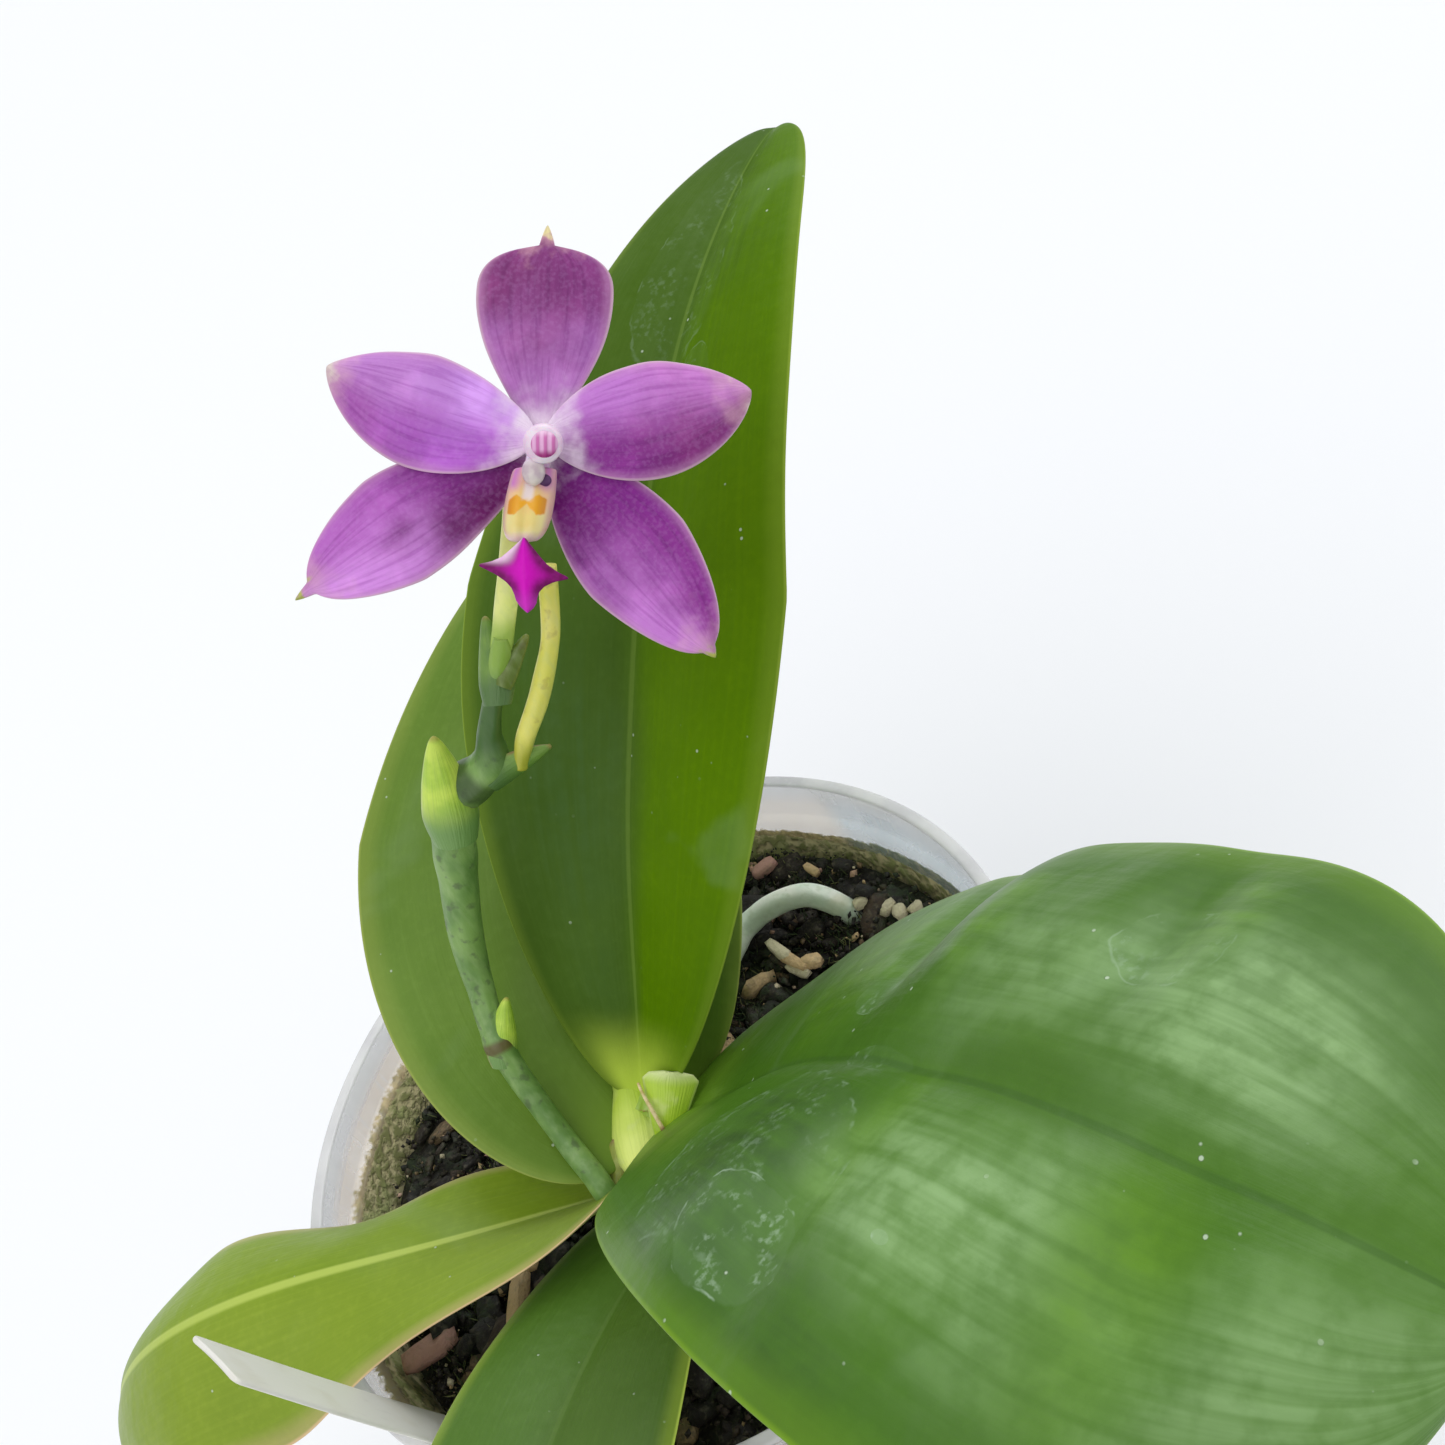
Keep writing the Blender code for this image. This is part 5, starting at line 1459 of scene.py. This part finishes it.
# %% [markdown]
# ## The bed of the mix
#
# Under the chips lies one lumpy body that fills the pot, so that no gap shows between them.

# %% The bed of the mix
INSIDE = WALL + 0.3
MIX_HEIGHT = RIM_HEIGHT + MIX_TOP
TOP_RADIUS = wall_radius(MIX_HEIGHT) - INSIDE
BED_AROUND = 160


def bed_shape():
    """A lumpy filling: a ring of points at each step of its profile, from foot to top middle."""
    foot = FLOOR + 0.3
    profile = [(radius, foot) for radius in (6.0, 20.0, BASE_RADIUS - INSIDE - 3.0)]
    heights = np.linspace(foot + 3.0, MIX_HEIGHT - 2.5, 40)
    profile += [(wall_radius(height) - INSIDE - 0.6, height) for height in heights]
    top = np.linspace(TOP_RADIUS - 1.5, 1.0, 40)
    profile += [(radius, MIX_HEIGHT - 1.5) for radius in top]
    radius, height = (np.array(column)[:, None] for column in zip(*profile))
    rings = about_axis(radius, full_turn(BED_AROUND), height - RIM_HEIGHT)
    x, y = rings[..., 0], rings[..., 1]
    swells = 1.6 * unevenness(x, y, 9.0, 31) + 0.8 * unevenness(x, y, 4.0, 32)
    rings[..., 2] += np.where(height > MIX_HEIGHT - 2.0, swells, 0.0)
    return closed_rings(above_rim(rings), np.zeros_like(rings))


# %% [markdown]
# ## The chips
#
# Chips on the top are spread by the golden angle, which leaves no rows, and chips at the
# wall lie flat against it. Crumbs fill the gaps between them.

# %% Chips
TOP_CHIPS = 900
WALL_CHIPS = 900
STEM_CENTRE = np.array([-3.0, -10.5])
STEM_CLEAR = 8.5
GOLDEN_ANGLE = math.radians(137.508)
GOLDEN_SHARE = 0.6180339


def clear_of_stem(points, clearance):
    """Whether each point lies further than a clearance from the stem's middle."""
    return np.linalg.norm(points[:, :2] - STEM_CENTRE, axis=1) > clearance


def top_chips(chance):
    """Chips on the top, spread evenly by the golden angle and leant at random."""
    draw = partial(chance.uniform, size=TOP_CHIPS)
    number = np.arange(TOP_CHIPS)
    length = draw(1.2, 5.4) * draw(0.4, 1.0)
    radius = (TOP_RADIUS - 1.0 - length) * np.sqrt((number + 0.5) / TOP_CHIPS)
    height = MIX_TOP - 1.2 + draw(-1.0, 1.6) + 0.15 * length
    centres = about_axis(radius, number * GOLDEN_ANGLE, height)
    kept = clear_of_stem(centres, STEM_CLEAR)
    spin = draw(0, 2 * np.pi)
    lean = chance.normal(0, 0.35, TOP_CHIPS)
    axes = directions(spin, lean, chance.normal(0, 0.4, TOP_CHIPS))
    frames = frames_of(axes, (length, length * draw(0.35, 0.75), length * draw(0.2, 0.45)))
    looks = together(0.93 * draw(0, 1) ** 3.2, draw(0, 1), 1.0)
    return scattered(BLOCK_POINTS, BLOCK_FACES, frames[kept], centres[kept], looks[kept], 0.22, chance)


def wall_chips(chance):
    """Chips that lie flat against the clear wall, from the floor to the top of the mix."""
    draw = partial(chance.uniform, size=WALL_CHIPS)
    number = np.arange(WALL_CHIPS)
    height = 4.0 + (MIX_HEIGHT - 7.0) * ((number * GOLDEN_SHARE) % 1.0)
    angle = number * GOLDEN_ANGLE * 1.7
    length = draw(2.0, 5.5)
    radius = wall_radius(height) - INSIDE - 1.3 - 0.02 * length**2
    outward = about_axis(1.0, angle, 0.0)
    sideways = together(-np.sin(angle), np.cos(angle), 0.0)
    spin = draw(0, np.pi)[:, None]
    along = sideways * np.cos(spin) + np.cross(outward, sideways) * np.sin(spin)
    frames = frames_of((along, np.cross(outward, along), outward), (length, length * draw(0.4, 0.8), 0.9))
    centres = outward * radius[:, None]
    centres[:, 2] = np.clip(height, 5.0 + length, MIX_HEIGHT - 1.0 - length) - RIM_HEIGHT
    looks = together(draw(0, 1), draw(0, 1), 0.0)
    return scattered(BLOCK_POINTS, BLOCK_FACES, frames, centres, looks, 0.15, chance)


CRUMBS = 5200
CRUMB_POINTS = np.array([(1, 0, 0), (0, 1, 0), (-1, 0, 0), (0, -1, 0), (0, 0, 1), (0, 0, -1)], float)
CRUMB_FACES = ((0, 1, 4), (1, 2, 4), (2, 3, 4), (3, 0, 4), (1, 0, 5), (2, 1, 5), (3, 2, 5), (0, 3, 5))


def crumbs(chance):
    """Crumbs of bark and old moss between the chips, each a small uneven octahedron."""
    draw = partial(chance.uniform, size=CRUMBS)
    radius = (TOP_RADIUS - 1.5) * np.sqrt(draw(0, 1))
    centres = about_axis(radius, draw(0, 2 * np.pi), 0.0)
    centres[:, 2] = MIX_TOP - 0.6 + draw(0.0, 2.2)
    kept = clear_of_stem(centres, STEM_CLEAR - 1.0)
    axes = directions(*chance.uniform(0, 2 * np.pi, (3, CRUMBS)))
    size = 0.25 + 0.9 * draw(0, 1) ** 2.5
    frames = frames_of(axes, (size, size * 0.8, size * 0.6))
    tone = draw(0, 1) ** 1.5
    looks = together(tone, tone, 1.0)
    return scattered(CRUMB_POINTS, CRUMB_FACES, frames[kept], centres[kept], looks[kept], 0.3, chance)


# Chips that stand out in the picture: pixel, height over the mix, half sizes, spin, tone
TAN, CREAM, PINK, BROWN = 0.89, 1.0, 0.94, 0.7
SEEN_CHIPS = (
    (778, 950, 3.0, (3.0, 1.0, 0.8), -72, CREAM),
    (792, 960, 2.8, (3.6, 1.0, 0.8), -68, TAN),
    (798, 970, 2.0, (2.4, 1.0, 0.8), -60, CREAM),
    (811, 962, 2.6, (1.9, 1.3, 1.0), -20, TAN),
    (784, 962, 1.4, (2.6, 0.8, 0.8), -60, BROWN),
    (860, 903, 1.8, (1.4, 1.1, 1.0), 0, CREAM),
    (888, 908, 1.6, (1.5, 1.0, 0.9), 30, CREAM),
    (900, 912, 1.8, (1.5, 1.2, 1.0), 80, CREAM),
    (916, 908, 2.0, (1.3, 1.0, 0.9), 10, CREAM),
    (764, 868, 1.8, (2.4, 1.3, 1.0), 12, PINK),
    (812, 870, 2.0, (1.8, 0.8, 0.7), -70, TAN),
    (518, 1302, 2.0, (4.8, 1.6, 1.2), 62, TAN),
    (500, 1340, 1.2, (4.0, 2.0, 1.2), 40, BROWN),
    (430, 1350, 1.6, (4.4, 2.2, 1.4), 10, PINK),
)


def seen_chips(chance):
    """The chips that the picture shows, each at its pixel and resting on the mix."""
    places = np.array([seen_at(x, y, MIX_TOP + rise) for x, y, rise, *_ in SEEN_CHIPS])
    *_, size, spin, tone = (np.array(column, float) for column in zip(*SEEN_CHIPS))
    count = len(SEEN_CHIPS)
    axes = directions(np.radians(spin), chance.normal(0, 0.12, count), chance.normal(0, 0.2, count))
    looks = together(tone, 0.9, 1.0)
    return scattered(BLOCK_POINTS, BLOCK_FACES, frames_of(axes, size.T), places, looks, 0.2, chance)


bark = Finish("damp_bark")
coarse = bark.noise(4.0, 4.0)
layers = bark.noise(0.9, 5.0, stretch=(1.0, 1.0, 3.0))
bark.body = bark.ramp(
    bark.along,
    (0.0, (26, 22, 16)), (1.0, (222, 212, 176)), (0.4, (40, 32, 24)),
    (0.66, (56, 44, 32)), (0.78, (90, 70, 50)), (0.89, (222, 190, 140)),
    (0.94, (196, 150, 136)),
)
fresh = bark.smooth(bark.along, 0.9, 0.8)
dark_layers = bark.line(bark.smooth(layers, 0.35, 0.7, 0.0, 0.5), fresh, 0.12)
bark.lay((22, 18, 12), dark_layers)
bark.mottle((128, 122, 100), 1.2, 5.0, 0.52, 0.7, 0.3)
algae = bark.blotches(13.0, 3.0, 0.45, 0.6, 0.75)
patchy = bark.blotches(1.5, 3.0, 0.35, 0.65)
algae = bark.times(bark.times(algae, patchy), fresh)
bark.lay((46, 62, 34), algae)
bark.relief((coarse, 0.5), (layers, 0.35), (bark.noise(0.4, 2.0), 0.15))
DAMP_BARK = bark.finish(bark.smooth(coarse, 0.3, 0.7, 0.55, 0.95))

chance = np.random.default_rng(5)
mix_shapes = [bed_shape(), top_chips(chance), wall_chips(chance), seen_chips(chance), crumbs(chance)]
make_piece("bark_chips", mix_shapes, DAMP_BARK, "bark_mix")

# %% [markdown]
# ## Moss
#
# Dark green moss grows between the chips, thicker in some places. One strand is a thin
# three-sided spike, and thousands of them make a soft pile. They lean at random and stand
# only where a slow pattern of swells is high, so the moss comes in patches.

# %% Moss
MOSS_STRANDS = 13000


def strand_shape():
    """A three-sided spike, one unit long, that tapers to its tip and bends a little."""
    share = np.linspace(0.0, 1.0, 4)[:, None]
    rings = about_axis(1.0 - 0.85 * share, full_turn(3), share)
    rings[..., 0] += 1.6 * share**2
    return closed_rings(rings, np.zeros_like(rings))


def moss_shape(chance):
    """Strands on the mix where a slow pattern of swells is high, clear of the stem."""
    strand_points, strand_faces, _ = strand_shape()
    radius = (TOP_RADIUS - 2.5) * np.sqrt(chance.uniform(0, 1, MOSS_STRANDS))
    centres = about_axis(radius, chance.uniform(0, 2 * np.pi, MOSS_STRANDS), 0.0)
    swells = unevenness(centres[:, 0], centres[:, 1], 20.0, 41)
    thick = swells + chance.normal(0, 0.14, MOSS_STRANDS) > 0.0
    centres = centres[thick & clear_of_stem(centres, STEM_CLEAR - 1.5)]
    count = len(centres)
    draw = partial(chance.uniform, size=count)
    centres[:, 2] = MIX_TOP - 1.4 + draw(0.0, 1.6)
    across, aside, along = directions(
        draw(0, 2 * np.pi), chance.normal(0, 0.5, count), chance.normal(0, 0.6, count)
    )
    length = draw(0.9, 2.6)
    width = draw(0.1, 0.22)
    frames = frames_of((across, aside, along), (width, width, length))
    looks = together(draw(0, 1), 0.0, 1.0)
    return scattered(strand_points, strand_faces, frames, centres, looks, 0.1, chance)


moss = Finish("green_moss")
moss.body = moss.ramp(
    moss.along, (0.0, (26, 40, 22)), (1.0, (140, 140, 92)), (0.5, (48, 70, 34)),
    (0.8, (84, 96, 52)),
)
MOSS_GREEN = moss.finish(0.8)
make_piece("moss", [moss_shape(chance)], MOSS_GREEN)

# %% [markdown]
# ## The pot
#
# The pot is thin clear plastic, cloudy with use, with a wider collar under its rim. Near the
# top of the mix a brown-green film of algae grows on the wall. The profile is turned round
# the axis, and the drainage holes are cut by small cylinders with Boolean modifiers, since a
# grid of rings has no simple way round a hole. See-through plastic is made with alpha,
# because a real refraction would need far more light samples for a pot that is mostly hidden.

# %% Pot
POT_AROUND = 192
DRAIN_HOLES = 8
DRAIN_RING = 30.0
DRAIN_RADIUS = 4.0
HOLE_SIDES = 32
COLLAR_FOOT = RIM_HEIGHT - COLLAR_HEIGHT


def round_corner(corner, before, after, reach, steps=5):
    """Points of a bend: a quadratic curve that leaves one side and joins the next."""
    corner, before, after = (np.array(point, float) for point in (corner, before, after))
    start = corner + (before - corner) / np.linalg.norm(before - corner) * reach
    end = corner + (after - corner) / np.linalg.norm(after - corner) * reach
    t = np.linspace(0.0, 1.0, steps)[:, None]
    return start * (1 - t) ** 2 + corner * 2 * t * (1 - t) + end * t**2


def pot_profile():
    """(radius, height) corners of the pot's section, each with its rounding, mm."""
    corners = (
        (1.0, FLOOR, 0.2), (BASE_RADIUS - WALL - 0.8, FLOOR, 1.0),
        (wall_radius(COLLAR_FOOT) - WALL, COLLAR_FOOT, 0.5),
        (COLLAR_RADIUS - WALL - 0.1, COLLAR_FOOT + 1.3, 0.5),
        (COLLAR_RADIUS - WALL, RIM_HEIGHT, 0.5), (RIM_RADIUS, RIM_HEIGHT, 0.6),
        (RIM_RADIUS - 0.1, RIM_HEIGHT - 1.9, 0.5), (COLLAR_RADIUS, RIM_HEIGHT - 2.2, 0.25),
        (COLLAR_RADIUS - 0.2, COLLAR_FOOT, 0.5), (wall_radius(COLLAR_FOOT), COLLAR_FOOT - 0.5, 0.4),
        (BASE_RADIUS + 0.2, 1.0, 0.9), (BASE_RADIUS - 1.6, 0.0, 0.8), (1.0, 0.0, 0.2),
    )
    points = [corner[:2] for corner in corners]
    bends = [
        round_corner(points[number], points[number - 1], points[number + 1], corners[number][2])
        for number in range(1, len(points) - 1)
    ]
    return np.concatenate([points[:1], *bends, points[-1:]])


def pot_shape():
    """The section turned round the axis: (r cos a, r sin a, h), closed at the middle."""
    profile = pot_profile()
    radius, height = profile[:, :1], profile[:, 1:]
    angle = full_turn(POT_AROUND)
    rings = about_axis(radius, angle, height - RIM_HEIGHT)
    return closed_rings(above_rim(rings), together(height, np.cos(angle), radius))


def drilled(piece):
    """Cuts the ring of drainage holes, and keeps the result as the piece's own mesh."""
    drills = []
    for hole in range(DRAIN_HOLES):
        angle = 2 * math.pi * hole / DRAIN_HOLES
        route = [
            (DRAIN_RING * math.cos(angle), DRAIN_RING * math.sin(angle), height - RIM_HEIGHT, DRAIN_RADIUS)
            for height in (-2.0, FLOOR + 2.0)
        ]
        points, faces, _ = tube_shape(route, (1.0, 0.0, 0.0), per_span=2, around=HOLE_SIDES)
        mesh = bpy.data.meshes.new(f"drill_{hole}")
        mesh.from_pydata(points.tolist(), [], faces)
        drill = bpy.data.objects.new(f"drill_{hole}", mesh)
        bpy.context.scene.collection.objects.link(drill)
        modifier = piece.modifiers.new(f"hole_{hole}", "BOOLEAN")
        modifier.operation = "DIFFERENCE"
        modifier.object = drill
        drills.append(drill)
    bpy.context.view_layer.update()
    graph = bpy.context.evaluated_depsgraph_get()
    mesh = bpy.data.meshes.new_from_object(piece.evaluated_get(graph), depsgraph=graph)
    piece.modifiers.clear()
    piece.data = mesh
    for drill in drills:
        bpy.data.objects.remove(drill, do_unlink=True)
    return piece


# From the rim down the wall is clouded, then thin and bluish, then covered by the film
CLOUDED_TO = 4.2  # mm down from the rim
FILM_HEIGHT = 5.0  # mm above the top of the mix
FILM_SINKS = 3.2  # mm, how much lower the film reaches at the right
SINKING_PLACE = (18.0, 46.0)  # mm along x, where it goes down
WARM_PLACE = (44.0, 47.5)  # mm along x, where the thin band's cream turns bluish

plastic = Finish("cloudy_clear_plastic")
parts = plastic.add("ShaderNodeSeparateXYZ", {"Vector": plastic.place})
x_place = parts.outputs[0]
height = plastic.times(parts.outputs[2], 1 / MM)
cloud = plastic.noise(16.0, 3.0, stretch=(1.0, 1.0, 0.35))
scuffs = plastic.smooth(plastic.noise(1.4, 3.0, stretch=(1.0, 1.0, 0.2)), 0.5, 0.75, 0.0, 0.4)
clouded = plastic.smooth(height, RIM_HEIGHT - CLOUDED_TO - 0.2, RIM_HEIGHT - CLOUDED_TO + 0.2)
smoky = plastic.mix(plastic.smooth(cloud, 0.35, 0.65), (200, 198, 202), (230, 230, 228))
warm = plastic.smooth(x_place, WARM_PLACE[1] * MM, WARM_PLACE[0] * MM)
thin = plastic.mix(warm, (196, 216, 230), (244, 218, 184))
below_top = plastic.smooth(height, MIX_HEIGHT + 1.0, MIX_HEIGHT - 1.0)
thin = plastic.mix(below_top, thin, (214, 216, 214))
plastic.body = plastic.mix(clouded, thin, smoky)
line = plastic.size_of(plastic.minus(height, RIM_HEIGHT - CLOUDED_TO))
plastic.over((128, 122, 134), line, 0.45, 0.1, 0.7)
plastic.lay((226, 228, 230), scuffs)
grown_to = plastic.line(cloud, 2.4, MIX_HEIGHT + FILM_HEIGHT - 1.4)
sunk = plastic.smooth(x_place, SINKING_PLACE[0] * MM, SINKING_PLACE[1] * MM, 0.0, FILM_SINKS)
grown_to = plastic.minus(grown_to, sunk)
rough_edge = plastic.line(plastic.noise(1.0, 4.0), 1.6, -0.8)
above_film = plastic.plus(plastic.minus(height, grown_to), rough_edge)
film = plastic.smooth(above_film, 0.35, -0.35)
lower = plastic.line(cloud, 10.0, height)
film = plastic.times(film, plastic.smooth(lower, MIX_HEIGHT - 14.0, MIX_HEIGHT + 2.0, 0.12, 1.0))
growth = plastic.blotches(1.6, 5.0, 0.38, 0.62)
algae = plastic.mix(growth, (226, 214, 166), (152, 154, 100))
algae = plastic.mix(plastic.blotches(5.0, 3.0, 0.5, 0.65, 0.7), algae, (182, 192, 124))
plastic.lay(algae, film)
clear = plastic.smooth(cloud, 0.3, 0.7, 0.1, 0.2)
on_collar = plastic.smooth(height, MIX_HEIGHT - 1.0, MIX_HEIGHT + 2.0)
clear = plastic.line(on_collar, 0.2, clear)
clear = plastic.larger(clear, film)
clear = plastic.larger(clear, plastic.smooth(height, RIM_HEIGHT - 0.9, RIM_HEIGHT - 0.2, 0.0, 0.7))
plastic.tree.links.new(clear, plastic.shader.inputs["Alpha"])
plastic.relief((scuffs, 0.05), (plastic.times(growth, film), 0.4), (cloud, 0.3))
CLOUDY_PLASTIC = plastic.finish(plastic.smooth(film, 0.0, 1.0, 0.2, 0.8))

pot = drilled(make_piece("fine_pot", [pot_shape()], CLOUDY_PLASTIC, "pot"))
print("the drilled pot has", len(pot.data.polygons), "faces")

# %% [markdown]
# ## The plant label
#
# A plain white strip with a pointed foot, pushed into the bark by the rim. It is a flat
# closed ring carried along a straight line, a little bowed, with its corners rounded.

# %% Label
LABEL_FOOT = np.array([-40.2, -27.4, -32.0])
LABEL_TOP = np.array([-52.9, -35.9, 42.0])
LABEL_ACROSS = np.array([0.45, -0.89, 0.0])
LABEL_WIDTH = 11.0
LABEL_CORNER = 0.9
LABEL_POINT = 9.0
LABEL_THICKNESS = 0.7


def label_shape(rows=120, around=64):
    """foot + along L s + across w(s) cos(u) + normal (half thickness and a slight bow)."""
    length = float(np.linalg.norm(LABEL_TOP - LABEL_FOOT))
    along = (LABEL_TOP - LABEL_FOOT) / length
    across = unit(LABEL_ACROSS - along * (along @ LABEL_ACROSS))
    normal = np.cross(across, along)
    s = eased(rows)
    u = full_turn(around)
    half_width = LABEL_WIDTH / 2
    left_to_top = length * (1 - s)
    width = np.interp(s * length, (0.0, LABEL_POINT), (1.0, half_width))
    rounding = np.clip((LABEL_CORNER - left_to_top) / LABEL_CORNER, 0.0, 1.0)
    width = width - LABEL_CORNER * (1 - np.sqrt(1 - rounding**2))
    v = np.sign(np.cos(u)) * np.abs(np.cos(u)) ** 0.7
    thick = LABEL_THICKNESS / 2 * np.sign(np.sin(u)) * (1 - np.abs(v) ** 30) ** 0.5
    bow = 0.5 * np.sin(np.pi * s) + 0.15 * v**2
    rings = LABEL_FOOT + along * (length * s)[..., None] + across * (width * v)[..., None]
    rings = rings + normal * (thick + bow)[..., None]
    look = together(s, v, np.where(np.sin(u) > 0, 1.0, 0.0))
    return closed_rings(above_rim(rings), look)


tag = Finish("matt_white_label")
smudge = tag.blotches(9.0, 4.0, 0.5, 0.7, 0.25)
tag.body = tag.mix(smudge, (232, 230, 222), (206, 198, 176))
tag.over((150, 132, 96), tag.along, 0.34, 0.2, 0.6)
scratch = tag.smooth(tag.noise(0.8, 2.0, stretch=(1.0, 1.0, 0.1)), 0.6, 0.8, 0.0, 0.2)
tag.lay((196, 194, 188), scratch)
tag.relief((tag.noise(0.5, 3.0), 0.02), (scratch, 0.03))
LABEL_SKIN = tag.finish(0.5)
make_piece("fine_label", [label_shape()], LABEL_SKIN, "plant_label")
